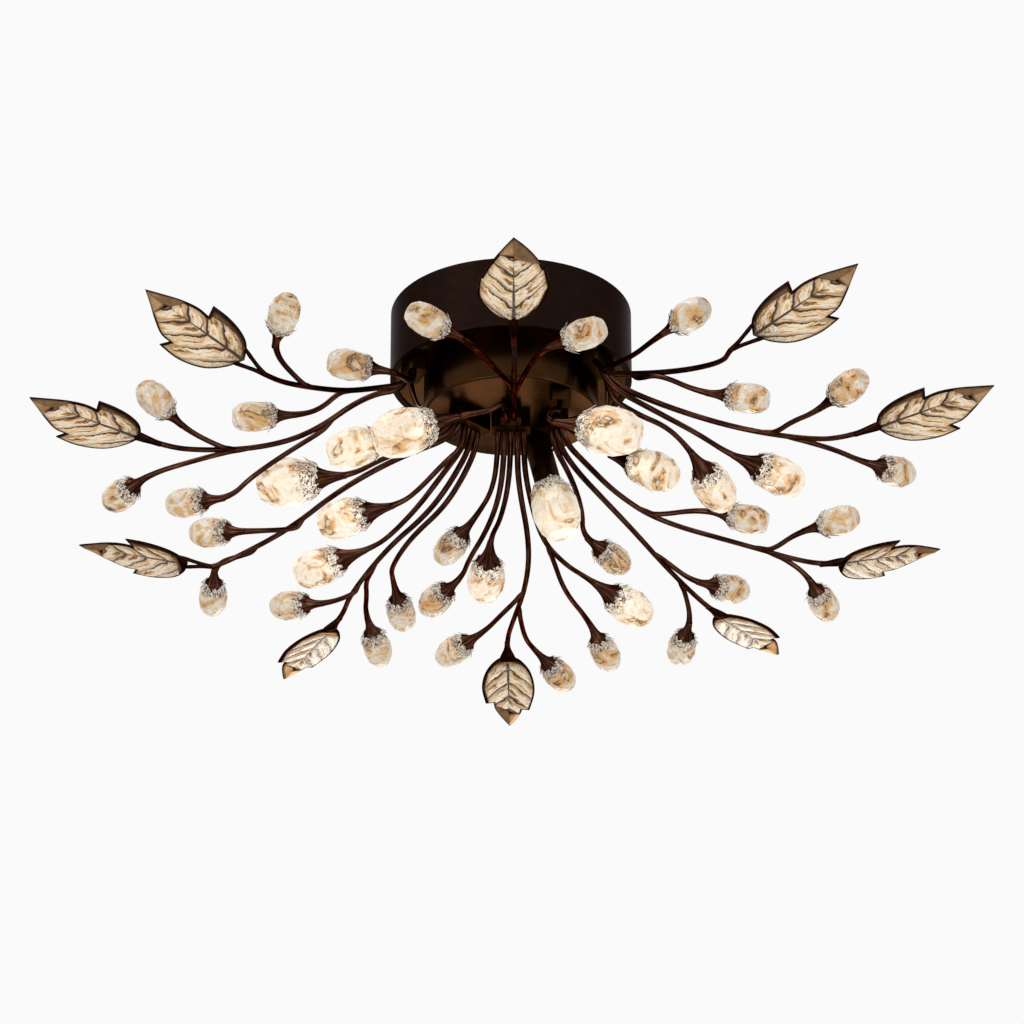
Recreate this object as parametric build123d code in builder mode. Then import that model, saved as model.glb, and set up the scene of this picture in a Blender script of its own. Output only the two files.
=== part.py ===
# Crystal flush mount ceiling light: a round canopy with a hub under it, ten framed leaves
# and forty crystal buds on bent rods. Millimetres, +Z up. The origin is on the ceiling, on
# the centre line, and -Y is the side that faces the room.
from build123d import *
import math
import os
from collections import namedtuple

os.makedirs("parts", exist_ok=True)

# Canopy: a drawn steel pot, open to the ceiling, with a narrow lip under its rim
canopy_d = 200.0
canopy_h = 62.0
canopy_wall = 1.2
canopy_lip = 4.0
canopy_edge_r = 1.0

# Base plate, carried on the lip
plate_t = 2.0
plate_gap = 0.6
plate_hole_d = 22.0

# Hub drum under the base plate
hub_d = 144.0
hub_h = 33.2
hub_wall = 1.5
hub_floor_t = 2.0
hub_flange = 11.0
hub_edge_r = 2.0
hub_screw_ring_d = 128.0
hub_screw_count = 3
hub_screw_turn = 90.0

# Mounting bar, with an ear at each end for the side screws
bar_w = 26.0
bar_t = 2.0
bar_gap = 1.0
ear_h = 22.0
slot_pitch = 90.0
slot_w = 5.5
slot_l = 22.0
entry_d = 14.0
entry_y = 22.0
earth_x = 7.0
earth_y = -20.0

# Side screws with round knurled heads
thumb_z = -13.0
thumb_shank_d = 3.9
thumb_hole_d = 4.6
ear_thread_d = 4.0
thumb_head_d = 12.0
thumb_head_t = 6.5
thumb_head_gap = 0.3
thumb_shank_l = 9.0
knurl_count = 24
knurl_depth = 0.4

# Small machine screws and nuts
m3_d = 3.0
m3_hole_d = 3.4
m3_head_d = 5.6
m3_head_t = 2.0
m3_reach = 6.5
m4_d = 4.0
m4_hole_d = 4.5
m4_head_d = 7.4
m4_head_t = 2.6
m4_nut_af = 7.0
m4_nut_t = 3.0
thread_play = 0.05

# Rods and tubes
rod_d = 4.0
tube_bore_d = 2.4
rod_play = 0.1
braze_gap = 0.2
bend_r_max = 90.0
bend_share = 0.45
block_drop = 9.0
straight_end = 14.0

# Stem blocks, which hold the upper ends of the rods
hole_pitch = 5.2
block_t = 10.0
block_out = 5.0
block_in = 10.5
block_end = 5.5
block_l_min = 17.0
block_corner_r = 3.0
block_screw_in = 6.4
block_screw_end = 4.0
wire_hole_d = 3.2

# Bud necks and bells, measured along the bud from the rod's end of the neck
neck_bore = 6.0
neck_web = 2.0
small_neck_d = 6.8
small_mouth_d = 17.0
small_bell_l = 12.0
lit_neck_d = 7.6
lit_mouth_d = 22.0
lit_bell_l = 18.0
lit_root = 14.0
bell_lip = 0.7
seat_gap = 0.3

# Crystals: (distance along the bud, corner radius) of each ring of facets
facets = 10
small_rings = [(12.0, 7.4), (18.0, 11.3), (26.0, 12.8), (36.5, 11.8), (44.0, 7.8)]
small_root_d = 7.6
lit_rings = [(18.0, 9.9), (26.0, 14.6), (38.0, 16.8), (50.0, 14.4), (58.0, 9.6)]
big_rings = [(18.0, 9.9), (29.0, 17.8), (43.0, 20.6), (57.0, 17.6), (66.0, 11.8)]
lit_root_d = 15.8
lamp_bore_d = 12.4
lamp_bore_end = 38.0

# Lamp holder and lamp inside each lit bud
holder_d = 11.0
holder_l = 7.0
lamp_foot_d = 8.6
lamp_foot_l = 2.0
lamp_d = 10.0
lamp_l = 18.0

# Lamp sleeve under the hub
sleeve_d = 22.0
sleeve_wall = 1.4
sleeve_flange_d = 30.0
sleeve_flange_t = 3.0
sleeve_foot = (22.0, 50.0)
sleeve_wire_d = 8.0
sleeve_l = 20.0
sleeve_screw_x = 11.6
sleeve_turn = 3.0
sleeve_rise = -76.0

# Leaves, with the blade's base at zero and its point at leaf_l
leaf_l = 102.0
leaf_rim_t = 3.2
leaf_glass_t = 4.0
glass_gap = 0.2
ferrule_d = 6.4
ferrule_l = 9.0
ferrule_in = 3.0
ferrule_bore = 7.0
fork_w = 2.4
fork_reach = 10.2
window_start = 3.5
solid_point = 12.0
wide_flange = 5.0
thin_flange = 1.8

# Leaf outlines from base to point: the lobe and the blade of the wide side, then the other
leaf_shapes = {
    "long": (
        [(0.0, 0.0), (8.0, 11.5), (20.0, 18.0), (36.0, 21.5), (52.0, 22.0)],
        [(48.5, 12.5), (60.0, 13.2), (74.0, 10.5), (88.0, 5.5), (leaf_l, 0.0)],
        [(0.0, 0.0), (7.0, -14.0), (20.0, -26.0), (40.0, -32.0), (60.0, -31.0)],
        [(55.5, -24.0), (66.0, -22.8), (79.0, -15.5), (91.0, -7.2), (leaf_l, 0.0)],
    ),
    "broad": (
        [(0.0, 0.0), (8.0, 10.5), (24.0, 19.5), (46.0, 23.5), (69.0, 20.5)],
        [(68.0, 13.5), (76.0, 12.6), (85.0, 9.0), (94.0, 4.4), (leaf_l, 0.0)],
        [(0.0, 0.0), (8.0, -11.0), (26.0, -20.0), (52.0, -23.0), (79.0, -18.0)],
        [(78.0, -11.5), (83.0, -10.4), (89.0, -7.5), (95.5, -4.0), (leaf_l, 0.0)],
    ),
    "whole": (
        [(0.0, 0.0), (8.0, 11.0), (22.0, 20.5), (44.0, 26.8), (66.0, 23.8)],
        [(66.4, 22.0), (75.0, 18.6), (84.0, 13.8), (93.0, 7.6), (leaf_l, 0.0)],
        [(0.0, 0.0), (7.0, -11.5), (17.5, -20.0), (34.0, -26.5), (56.0, -25.5)],
        [(56.4, -23.6), (68.0, -19.0), (80.0, -13.0), (91.0, -6.8), (leaf_l, 0.0)],
    ),
}

# Lamp driver, terminal block and leads inside the canopy
driver_l = 92.0
driver_w = 40.0
driver_h = 24.0
driver_at = (0.0, 36.0)
driver_ear_l = 9.0
driver_ear_t = 3.0
terminal_l = 30.0
terminal_w = 18.0
terminal_h = 15.0
terminal_at = (-30.0, -40.0)
terminal_ways = 3
lead_d = 2.6
grommet_wall = 2.5
grommet_lip = 1.5

# Levels that follow from the sizes above
lip_top = -canopy_h + canopy_wall
plate_top = lip_top + plate_t
hub_bottom = lip_top - hub_h
hub_floor_top = hub_bottom + hub_floor_t
canopy_r = canopy_d / 2
hub_r = hub_d / 2
rod_r = rod_d / 2
stem_pitch = rod_d + braze_gap

Block = namedtuple("Block", "centre outward holes level")
Head = namedtuple("Head", "kind neck turn rise")
Leaf = namedtuple("Leaf", "base turn rise roll shape wide_side")
Stem = namedtuple("Stem", "start route")
InBlock = namedtuple("InBlock", "block hole drop")
Beside = namedtuple("Beside", "carrier run share_from share_to side")

# Stem blocks: centre of the row of holes, the way the rods leave, holes and level
blocks = {
    "west": Block((-82.0, -30.0), 200.0, 4, lip_top),
    "east": Block((73.5, -42.0), -26.0, 6, lip_top),
    "southwest": Block((-36.0, 0.0), 138.0, 6, hub_bottom),
    "southeast": Block((37.0, 4.0), 54.0, 3, hub_bottom),
    "south": Block((0.0, 8.0), 90.0, 5, hub_bottom),
    "north": Block((0.0, -14.0), -90.0, 2, hub_bottom),
    "single": Block((40.0, -46.0), -90.0, 1, hub_bottom),
}

# Buds: place of the neck, and the way the bud points (turn from +X, rise above level)
heads = {
    "L1": Head("big", (-47, -83, -138), -175, -20),
    "L2": Head("lit", (-93, -50, -138), -170, -20),
    "L3": Head("big", (-142, -7, -152), 165, 0),
    "L4": Head("lit", (-104, 41, -157), 160, -6),
    "L5": Head("lit", (-130, 143, -150), 155, -10),
    "L6": Head("lit", (-18, 146, -144), 95, -20),
    "L8": Head("big", (40, -83, -142), -10, -15),
    "L9": Head("lit", (87, -1, -132), -25, -30),
    "L10": Head("lit", (150, -13, -138), 60, -20),
    "L11": Head("lit", (187, -23, -144), 30, -10),
    "L12": Head("lit", (75, 210, -149), 40, -15),
    "S1": Head("small", (-183, -196, -127), -75, 20),
    "S2": Head("small", (-103, -128, -118), -160, 0),
    "S3": Head("small", (-43, -215, -133), -145, 10),
    "S4": Head("small", (34, -193, -130), -30, 5),
    "S5": Head("small", (122, -198, -120), -50, 5),
    "S6": Head("small", (163, -112, -131), -15, -15),
    "S7": Head("small", (251, -106, -137), -50, 10),
    "S8": Head("small", (-269, -83, -139), -125, 15),
    "S9": Head("small", (-180, -83, -135), -165, -10),
    "S10": Head("small", (-302, -14, -160), 130, -5),
    "S11": Head("small", (-242, 15, -162), 155, 5),
    "S12": Head("small", (-227, 74, -163), 155, 10),
    "S13": Head("small", (-252, 158, -163), 95, -20),
    "S14": Head("small", (292, -41, -158), 40, 5),
    "S15": Head("small", (252, 104, -146), -35, 0),
    "S16": Head("small", (172, 79, -143), -5, -15),
    "S17": Head("small", (255, 155, -173), 65, -15),
    "S18": Head("small", (165, 174, -164), 35, 5),
    "S19": Head("small", (153, 241, -175), 100, -15),
    "S20": Head("small", (69, 133, -145), 50, -10),
    "S21": Head("small", (-167, 200, -171), 150, 10),
    "S22": Head("small", (-123, 250, -167), 75, -25),
    "S23": Head("small", (-99, 199, -159), 80, -20),
    "S24": Head("small", (-49, 186, -159), 125, -10),
    "S25": Head("small", (-36, 109, -141), 125, -20),
    "S26": Head("small", (-31, 269, -171), 135, -10),
    "S27": Head("small", (27, 303, -175), 55, -15),
    "S28": Head("small", (72, 277, -161), 65, -25),
}

# Leaves: base of the blade, the way it points, its roll about its own length, its outline,
# and 1 where the wide side lies on the left or -1 on the right
leaves = {
    "leaf_1": Leaf((2, -297, -166), -90, 9, 0, "whole", 1),
    "leaf_2": Leaf((186, -243, -148), -37, 17, -20, "long", -1),
    "leaf_3": Leaf((290, -107, -158), -26, 8, -18, "long", -1),
    "leaf_4": Leaf((277, 140, -160), 22, 17, -12, "long", -1),
    "leaf_5": Leaf((180, 245, -160), 56, 0, 4, "broad", -1),
    "leaf_6": Leaf((-3, 296, -176), 89, -14, 0, "broad", 1),
    "leaf_7": Leaf((-156, 259, -166), 117, -5, -12, "broad", 1),
    "leaf_8": Leaf((-273, 137, -162), 166, 16, 10, "long", 1),
    "leaf_9": Leaf((-295, -97, -162), -145, 3, 14, "long", 1),
    "leaf_10": Leaf((-206, -221, -158), -137, 14, 24, "long", 1),
}

# Stems: where each starts, and the bends that it takes on its way to its bud or leaf
stems = {
    "leaf_1": Stem(InBlock("north", 1, 0), [(2, -118, -121), (3, -215, -150)]),
    "L1": Stem(InBlock("north", 0, 0), [(-5, -74, -117), (-15, -84, -131)]),
    "S3": Stem(Beside("leaf_1", 1, 0.72, 0.96, "right"), []),
    "S4": Stem(Beside("leaf_1", 1, 0.66, 0.92, "left"), []),
    "S2": Stem(InBlock("west", 3, 0), [(-84, -76, -100)]),
    "L2": Stem(InBlock("west", 1, 8), [(-68, -44, -118)]),
    "leaf_10": Stem(
        InBlock("west", 2, 0), [(-114, -52, -95), (-137, -88, -116), (-176, -158, -146)]
    ),
    "leaf_9": Stem(
        InBlock("west", 0, 0),
        [(-118, -36, -92), (-164, -12, -116), (-207, -27, -137), (-255, -58, -154)],
    ),
    "S1": Stem(Beside("leaf_10", 3, 0.50, 0.80, "left"), []),
    "S9": Stem(Beside("leaf_10", 2, 0.35, 0.90, "right"), [(-152, -82, -128)]),
    "S8": Stem(Beside("leaf_9", 4, 0.30, 0.60, "left"), []),
    "S10": Stem(Beside("leaf_9", 4, 0.12, 0.40, "right"), [(-262, -42, -157)]),
    "S11": Stem(Beside("leaf_9", 2, 0.55, 0.85, "under"), [(-180, -20, -135), (-212, -8, -153)]),
    "S5": Stem(InBlock("east", 0, 0), [(95, -110, -98)]),
    "leaf_2": Stem(
        InBlock("east", 1, 0), [(108, -84, -98), (141, -138, -123), (166, -190, -143)]
    ),
    "leaf_3": Stem(
        InBlock("east", 3, 0), [(126, -32, -101), (186, -46, -129), (244, -68, -150)]
    ),
    "L11": Stem(InBlock("east", 2, 4), [(116, -34, -105), (152, -42, -131)]),
    "L10": Stem(InBlock("east", 4, 12), [(104, -31, -108), (126, -42, -124)]),
    "L9": Stem(InBlock("east", 5, 6), [(81, -4, -104)]),
    "S6": Stem(Beside("leaf_2", 1, 0.70, 0.90, "under"), [(118, -112, -113)]),
    "S7": Stem(Beside("leaf_3", 3, 0.20, 0.50, "right"), [(226, -80, -139)]),
    "S14": Stem(Beside("leaf_3", 3, 0.55, 0.85, "left"), [(262, -64, -157)]),
    "L3": Stem(InBlock("southwest", 5, 0), [(-75, -10, -124), (-108, -16, -142)]),
    "leaf_8": Stem(
        InBlock("southwest", 4, 0),
        [(-91, 12, -124), (-142, 46, -138), (-185, 94, -151), (-235, 130, -162)],
    ),
    "L4": Stem(InBlock("southwest", 3, 8), [(-54, 14, -128), (-76, 28, -147)]),
    "L5": Stem(InBlock("southwest", 2, 0), [(-60, 55, -124), (-79, 86, -136), (-103, 120, -146)]),
    "leaf_7": Stem(
        InBlock("southwest", 1, 0),
        [(-51, 60, -126), (-72, 94, -139), (-104, 130, -151), (-138, 198, -163)],
    ),
    "S23": Stem(
        InBlock("southwest", 0, 0),
        [(-38, 44, -124), (-56, 80, -138), (-84, 112, -150), (-102, 156, -157)],
    ),
    "S21": Stem(Beside("leaf_7", 4, 0.70, 0.90, "under"), []),
    "S22": Stem(Beside("leaf_7", 4, 0.25, 0.70, "right"), [(-124, 208, -160)]),
    "S12": Stem(Beside("leaf_8", 3, 0.70, 0.90, "under"), []),
    "S13": Stem(Beside("leaf_8", 4, 0.55, 0.75, "right"), []),
    "S20": Stem(InBlock("southeast", 2, 0), [(50, 44, -127), (60, 82, -140)]),
    "leaf_5": Stem(
        InBlock("southeast", 1, 0), [(53, 42, -121), (78, 78, -132), (104, 114, -144), (135, 170, -154)]
    ),
    "leaf_4": Stem(
        InBlock("southeast", 0, 0), [(64, 44, -117), (88, 76, -127), (124, 104, -139), (194, 121, -152)]
    ),
    "S16": Stem(Beside("leaf_4", 3, 0.45, 0.85, "right"), []),
    "S15": Stem(Beside("leaf_4", 5, 0.10, 0.40, "right"), []),
    "S17": Stem(Beside("leaf_4", 5, 0.30, 0.60, "left"), []),
    "S18": Stem(Beside("leaf_5", 4, 0.50, 0.80, "right"), []),
    "S19": Stem(Beside("leaf_5", 5, 0.25, 0.55, "left"), []),
    "S25": Stem(InBlock("south", 4, 0), [(-14, 58, -130)]),
    "S24": Stem(InBlock("south", 3, 6), [(-9, 60, -136), (-20, 102, -148), (-36, 142, -157)]),
    "L6": Stem(InBlock("south", 2, 0), [(-2, 60, -128), (-9, 102, -139)]),
    "leaf_6": Stem(
        InBlock("south", 1, 6), [(6, 52, -130), (16, 122, -152), (13, 180, -164), (1, 240, -171)]
    ),
    "L12": Stem(InBlock("south", 0, 0), [(12, 60, -122), (25, 138, -139), (46, 174, -146)]),
    "S26": Stem(Beside("leaf_6", 4, 0.10, 0.40, "left"), [(-8, 228, -168)]),
    "S27": Stem(Beside("leaf_6", 4, 0.50, 0.80, "right"), [(12, 266, -173)]),
    "S28": Stem(Beside("L12", 3, 0.25, 0.65, "left"), [(46, 214, -153)]),
    "L8": Stem(InBlock("single", 0, 0), [(35, -70, -121)]),
}

# The clusters that the stems, buds and bells are grouped in
clusters = {
    "north": ["leaf_1", "L1", "L8", "S3", "S4"],
    "west": ["leaf_10", "leaf_9", "L2", "S1", "S2", "S8", "S9", "S10", "S11"],
    "east": ["leaf_2", "leaf_3", "L9", "L10", "L11", "S5", "S6", "S7", "S14"],
    "southwest": ["leaf_7", "leaf_8", "L3", "L4", "L5", "S12", "S13", "S21", "S22", "S23"],
    "southeast": ["leaf_4", "leaf_5", "S15", "S16", "S17", "S18", "S19", "S20"],
    "south": ["leaf_6", "L6", "L12", "S24", "S25", "S26", "S27", "S28"],
}


def heading(turn, rise):
    """Unit vector that points turn degrees round from +X and rise degrees above level."""
    flat = math.cos(math.radians(rise))
    return (
        flat * math.cos(math.radians(turn)),
        flat * math.sin(math.radians(turn)),
        math.sin(math.radians(rise)),
    )


def along(point, direction, distance):
    """The point a distance from another one, in a direction."""
    return tuple(p + q * distance for p, q in zip(point, direction))


def between(first, last, share):
    """The point at a share of the way from one point to another."""
    return tuple(p + (q - p) * share for p, q in zip(first, last))


def block_holes(block):
    """Centres of a block's row of holes, from right to left as the rods leave."""
    out = math.radians(block.outward)
    row = (-math.sin(out), math.cos(out))
    middle = (block.holes - 1) / 2
    return [
        (
            block.centre[0] + row[0] * hole_pitch * (i - middle),
            block.centre[1] + row[1] * hole_pitch * (i - middle),
        )
        for i in range(block.holes)
    ]


def block_length(block):
    """Length of a block along its row of holes."""
    return max(block_l_min, (block.holes - 1) * hole_pitch + 2 * block_end)


def beside(first, last, side):
    """Offset that lays a rod against the run between two points, on the given side."""
    run = [q - p for p, q in zip(first, last)]
    length = math.sqrt(sum(v * v for v in run))
    run = [v / length for v in run]
    flat = math.hypot(run[0], run[1])
    left = (-run[1] / flat, run[0] / flat, 0.0)
    under = (
        run[1] * left[2] - run[2] * left[1],
        run[2] * left[0] - run[0] * left[2],
        run[0] * left[1] - run[1] * left[0],
    )
    if side == "left":
        return tuple(v * stem_pitch for v in left)
    if side == "right":
        return tuple(-v * stem_pitch for v in left)
    return tuple(-v * stem_pitch for v in under)


def stem_end(name):
    """The seat at a stem's far end: its neck, the way it points and the bore's depth."""
    if name in leaves:
        leaf = leaves[name]
        direction = heading(leaf.turn, leaf.rise)
        return along(leaf.base, direction, -ferrule_l), direction, ferrule_bore
    head = heads[name]
    return head.neck, heading(head.turn, head.rise), neck_bore


def stem_points(name):
    """All corners of a stem's path, from its start to its seat."""
    stem = stems[name]
    neck, direction, depth = stem_end(name)
    if isinstance(stem.start, InBlock):
        block = blocks[stem.start.block]
        x, y = block_holes(block)[stem.start.hole]
        low = block.level - block_t - block_drop - stem.start.drop
        points = [(x, y, block.level), (x, y, low)]
    else:
        carrier = stem_points(stem.start.carrier)
        first = carrier[stem.start.run]
        last = carrier[stem.start.run + 1]
        offset = beside(first, last, stem.start.side)
        points = [
            along(between(first, last, share), offset, 1.0)
            for share in (stem.start.share_from, stem.start.share_to)
        ]
    points += [tuple(map(float, point)) for point in stem.route]
    points.append(along(neck, direction, -straight_end))
    points.append(along(neck, direction, depth - rod_play))
    return points


def bend_radii(points):
    """Radius of the bend at each inner corner, as large as its two runs allow."""
    radii = []
    for before, corner, after in zip(points, points[1:], points[2:]):
        into = [q - p for p, q in zip(before, corner)]
        out = [q - p for p, q in zip(corner, after)]
        into_l = math.sqrt(sum(v * v for v in into))
        out_l = math.sqrt(sum(v * v for v in out))
        cosine = sum(p * q for p, q in zip(into, out)) / (into_l * out_l)
        turn = math.acos(max(-1.0, min(1.0, cosine)))
        room = bend_share * min(into_l, out_l) / math.tan(turn / 2)
        radii.append(min(bend_r_max, room))
    return radii


# Solid modelling starts here


def on_axis(place, direction):
    """Location whose Z lies along a direction, with its X level."""
    level = Vector(0, 0, 1).cross(Vector(*direction))
    if level.length < 0.001:
        level = Vector(1, 0, 0)
    return Plane(origin=place, x_dir=level, z_dir=direction).location


def save(part, name):
    """Label a finished piece and write it."""
    part.label = name
    export_step(part, f"parts/{name}.step")


# Mounting bar, screwed to the ceiling box through its two slots
ear_face = canopy_r - canopy_wall - bar_gap
with BuildPart() as mounting_bar:
    with BuildSketch(Plane.XY.offset(-bar_t)):
        Rectangle(bar_w, 2 * ear_face)
        with Locations((0, slot_pitch / 2), (0, -slot_pitch / 2)):
            SlotOverall(slot_l, slot_w, rotation=90, mode=Mode.SUBTRACT)
        with Locations((0, entry_y)):
            Circle(entry_d / 2, mode=Mode.SUBTRACT)
        with Locations((earth_x, earth_y)):
            Circle(m4_d / 2 + thread_play, mode=Mode.SUBTRACT)
    extrude(amount=bar_t)
    for side in (1, -1):
        with BuildSketch(Plane.XZ.offset(-side * ear_face)):
            with Locations((0, -ear_h / 2)):
                Rectangle(bar_w, ear_h)
            with Locations((0, thumb_z)):
                Circle(ear_thread_d / 2, mode=Mode.SUBTRACT)
        extrude(amount=side * bar_t)
save(mounting_bar.part, "mounting_bar")

# Earth screw with its cup washer, in the mounting bar
with BuildPart() as earth_screw:
    with BuildSketch(Plane.XY.offset(-bar_t - 1.0)):
        with Locations((earth_x, earth_y)):
            Circle(4.5)
            Circle(m4_d / 2, mode=Mode.SUBTRACT)
    extrude(amount=1.0)
    with BuildSketch(Plane.XY.offset(-bar_t - 1.0)):
        with Locations((earth_x, earth_y)):
            Circle(m4_head_d / 2)
    extrude(amount=-m4_head_t)
    with BuildSketch(Plane.XY.offset(-bar_t - 1.0)):
        with Locations((earth_x, earth_y)):
            Circle(m4_d / 2)
    extrude(amount=bar_t)
    with Locations((earth_x, earth_y, -bar_t - 1.0 - m4_head_t)):
        Box(m4_head_d - 1.6, 0.9, 2.0)
        Box(m4_head_d - 1.6, 0.9, 2.4, mode=Mode.SUBTRACT)
save(earth_screw.part, "earth_screw")

# Canopy shell
with BuildPart() as canopy_shell:
    with BuildSketch(Plane.XZ):
        with BuildLine():
            Polyline(
                (canopy_r, 0),
                (canopy_r, -canopy_h),
                (canopy_r - canopy_wall - canopy_lip, -canopy_h),
                (canopy_r - canopy_wall - canopy_lip, lip_top),
                (canopy_r - canopy_wall, lip_top),
                (canopy_r - canopy_wall, 0),
                close=True,
            )
        make_face()
    revolve(axis=Axis.Z)
    lower_rim = canopy_shell.edges().filter_by(GeomType.CIRCLE).group_by(Axis.Z)[0].sort_by(
        SortBy.RADIUS
    )[-1]
    fillet(lower_rim, radius=canopy_edge_r)
    with BuildSketch(Plane.XZ.offset(-canopy_r - 1)):
        with Locations((0, thumb_z)):
            Circle(thumb_hole_d / 2)
    extrude(amount=canopy_d + 2, mode=Mode.SUBTRACT)
save(canopy_shell.part, "canopy_shell")


def place_all(piece, locations, name):
    """Make a node of copies of one piece, each at its own place."""
    with BuildPart() as group:
        with Locations(*locations):
            add(piece.part)
    save(group.part, name)
    return group


# Side screws, lying along Y with their heads outside the canopy
with BuildPart() as thumb_screw:
    with BuildSketch(Plane.XY.offset(thumb_head_gap)):
        Circle(thumb_head_d / 2)
        with PolarLocations(thumb_head_d / 2, knurl_count):
            Rectangle(2 * knurl_depth, 0.7, mode=Mode.SUBTRACT)
    extrude(amount=thumb_head_t)
    with BuildSketch(Plane.XY.offset(thumb_head_gap)):
        Circle(thumb_shank_d / 2)
    extrude(amount=-thumb_shank_l)
    with BuildSketch(Plane.XY.offset(thumb_head_gap + thumb_head_t)):
        Rectangle(thumb_head_d * 0.6, 1.2)
    extrude(amount=-1.5, mode=Mode.SUBTRACT)
place_all(thumb_screw, [on_axis((0, -canopy_r, thumb_z), (0, -1, 0))], "front_side_screw")
place_all(thumb_screw, [on_axis((0, canopy_r, thumb_z), (0, 1, 0))], "rear_side_screw")


def screw_places(block):
    """Centres of a block's fixing screws, behind its row of holes."""
    out = math.radians(block.outward)
    back = (-math.cos(out), -math.sin(out))
    row = (-math.sin(out), math.cos(out))
    half = block_length(block) / 2 - block_screw_end
    return [
        (
            block.centre[0] + back[0] * block_screw_in + row[0] * half * s,
            block.centre[1] + back[1] * block_screw_in + row[1] * half * s,
        )
        for s in (-1, 1)
    ]


def wire_places(level):
    """Centres of the wire holes over the lit tubes of the blocks on one level."""
    places = []
    for name, stem in stems.items():
        if name in heads and heads[name].kind != "small":
            block = blocks[stem.start.block]
            if block.level == level:
                places.append(block_holes(block)[stem.start.hole])
    return places


def fixing_places(level):
    """Centres of all fixing screws of the blocks on one level."""
    return [place for block in blocks.values() if block.level == level for place in screw_places(block)]


# Base plate, with its holes for the hub, the blocks, the wires and the driver
driver_screws = [
    (driver_at[0] + side * (driver_l / 2 + driver_ear_l / 2), driver_at[1]) for side in (1, -1)
]
plate_r = canopy_r - canopy_wall - plate_gap
with BuildPart() as base_plate:
    with BuildSketch(Plane.XY.offset(lip_top)):
        Circle(plate_r)
        Circle(plate_hole_d / 2, mode=Mode.SUBTRACT)
        with PolarLocations(hub_screw_ring_d / 2, hub_screw_count, start_angle=hub_screw_turn):
            Circle(m4_hole_d / 2, mode=Mode.SUBTRACT)
        with Locations(*fixing_places(lip_top)):
            Circle(m3_hole_d / 2, mode=Mode.SUBTRACT)
        with Locations(*wire_places(lip_top)):
            Circle(wire_hole_d / 2, mode=Mode.SUBTRACT)
        with Locations(*driver_screws):
            Circle(m3_d / 2 + thread_play, mode=Mode.SUBTRACT)
    extrude(amount=plate_t)
save(base_plate.part, "base_plate")

# Hub drum, a cup whose inward flange is bolted up against the base plate
with BuildPart() as hub_drum:
    with BuildSketch(Plane.XZ):
        with BuildLine():
            Polyline(
                (0, hub_bottom),
                (hub_r, hub_bottom),
                (hub_r, lip_top),
                (hub_r - hub_flange, lip_top),
                (hub_r - hub_flange, lip_top - hub_wall),
                (hub_r - hub_wall, lip_top - hub_wall),
                (hub_r - hub_wall, hub_floor_top),
                (0, hub_floor_top),
                close=True,
            )
        make_face()
    revolve(axis=Axis.Z)
    lower_edge = hub_drum.edges().filter_by(GeomType.CIRCLE).group_by(Axis.Z)[0]
    fillet(lower_edge, radius=hub_edge_r)
    with BuildSketch(Plane.XY.offset(lip_top)):
        with PolarLocations(hub_screw_ring_d / 2, hub_screw_count, start_angle=hub_screw_turn):
            Circle(m4_hole_d / 2)
    extrude(amount=-hub_wall, mode=Mode.SUBTRACT)
    with BuildSketch(Plane.XY.offset(hub_bottom)):
        with Locations(*fixing_places(hub_bottom)):
            Circle(m3_hole_d / 2)
        with Locations(*wire_places(hub_bottom)):
            Circle(wire_hole_d / 2)
        with Locations(sleeve_foot):
            Circle(sleeve_wire_d / 2)
            with Locations((-sleeve_screw_x, 0), (sleeve_screw_x, 0)):
                Circle(m3_hole_d / 2)
    extrude(amount=hub_floor_t, mode=Mode.SUBTRACT)
save(hub_drum.part, "hub_drum")

# Hub screws and nuts
with BuildPart() as m4_screw:
    with BuildSketch():
        Circle(m4_head_d / 2)
    extrude(amount=m4_head_t)
    fillet(m4_screw.edges().group_by(Axis.Z)[-1], radius=0.8)
    with BuildSketch():
        Circle(m4_d / 2)
    extrude(amount=-(plate_t + hub_wall + m4_nut_t + 1.5))
    with Locations((0, 0, m4_head_t)):
        Box(4.4, 1.0, 2.4, mode=Mode.SUBTRACT)
        Box(1.0, 4.4, 2.4, mode=Mode.SUBTRACT)
with BuildPart() as m4_nut:
    with BuildSketch():
        RegularPolygon(m4_nut_af / 2, 6, major_radius=False)
        Circle(m4_d / 2 + thread_play, mode=Mode.SUBTRACT)
    extrude(amount=-m4_nut_t)
ring_places = [
    (
        hub_screw_ring_d / 2 * math.cos(math.radians(hub_screw_turn + 360 * i / hub_screw_count)),
        hub_screw_ring_d / 2 * math.sin(math.radians(hub_screw_turn + 360 * i / hub_screw_count)),
    )
    for i in range(hub_screw_count)
]
place_all(m4_screw, [Location((x, y, plate_top)) for x, y in ring_places], "hub_screws")
place_all(m4_nut, [Location((x, y, lip_top - hub_wall)) for x, y in ring_places], "hub_nuts")

# Stem blocks, one for each bundle of rods
with BuildPart() as stem_blocks:
    for block in blocks.values():
        out = heading(block.outward, 0)
        middle = along((*block.centre, block.level), out, (block_out - block_in) / 2)
        with BuildSketch(Plane(origin=middle, x_dir=out, z_dir=(0, 0, -1))):
            RectangleRounded(block_out + block_in, block_length(block), block_corner_r)
        extrude(amount=block_t)
        with BuildSketch(Plane(origin=(0, 0, block.level))):
            with Locations(*block_holes(block)):
                Circle(rod_d / 2 + rod_play)
        extrude(amount=-block_t, mode=Mode.SUBTRACT)
        with BuildSketch(Plane(origin=(0, 0, block.level))):
            with Locations(*screw_places(block)):
                Circle(m3_d / 2 + thread_play)
        extrude(amount=-(m3_reach + 1.0), mode=Mode.SUBTRACT)
save(stem_blocks.part, "stem_blocks")

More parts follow.
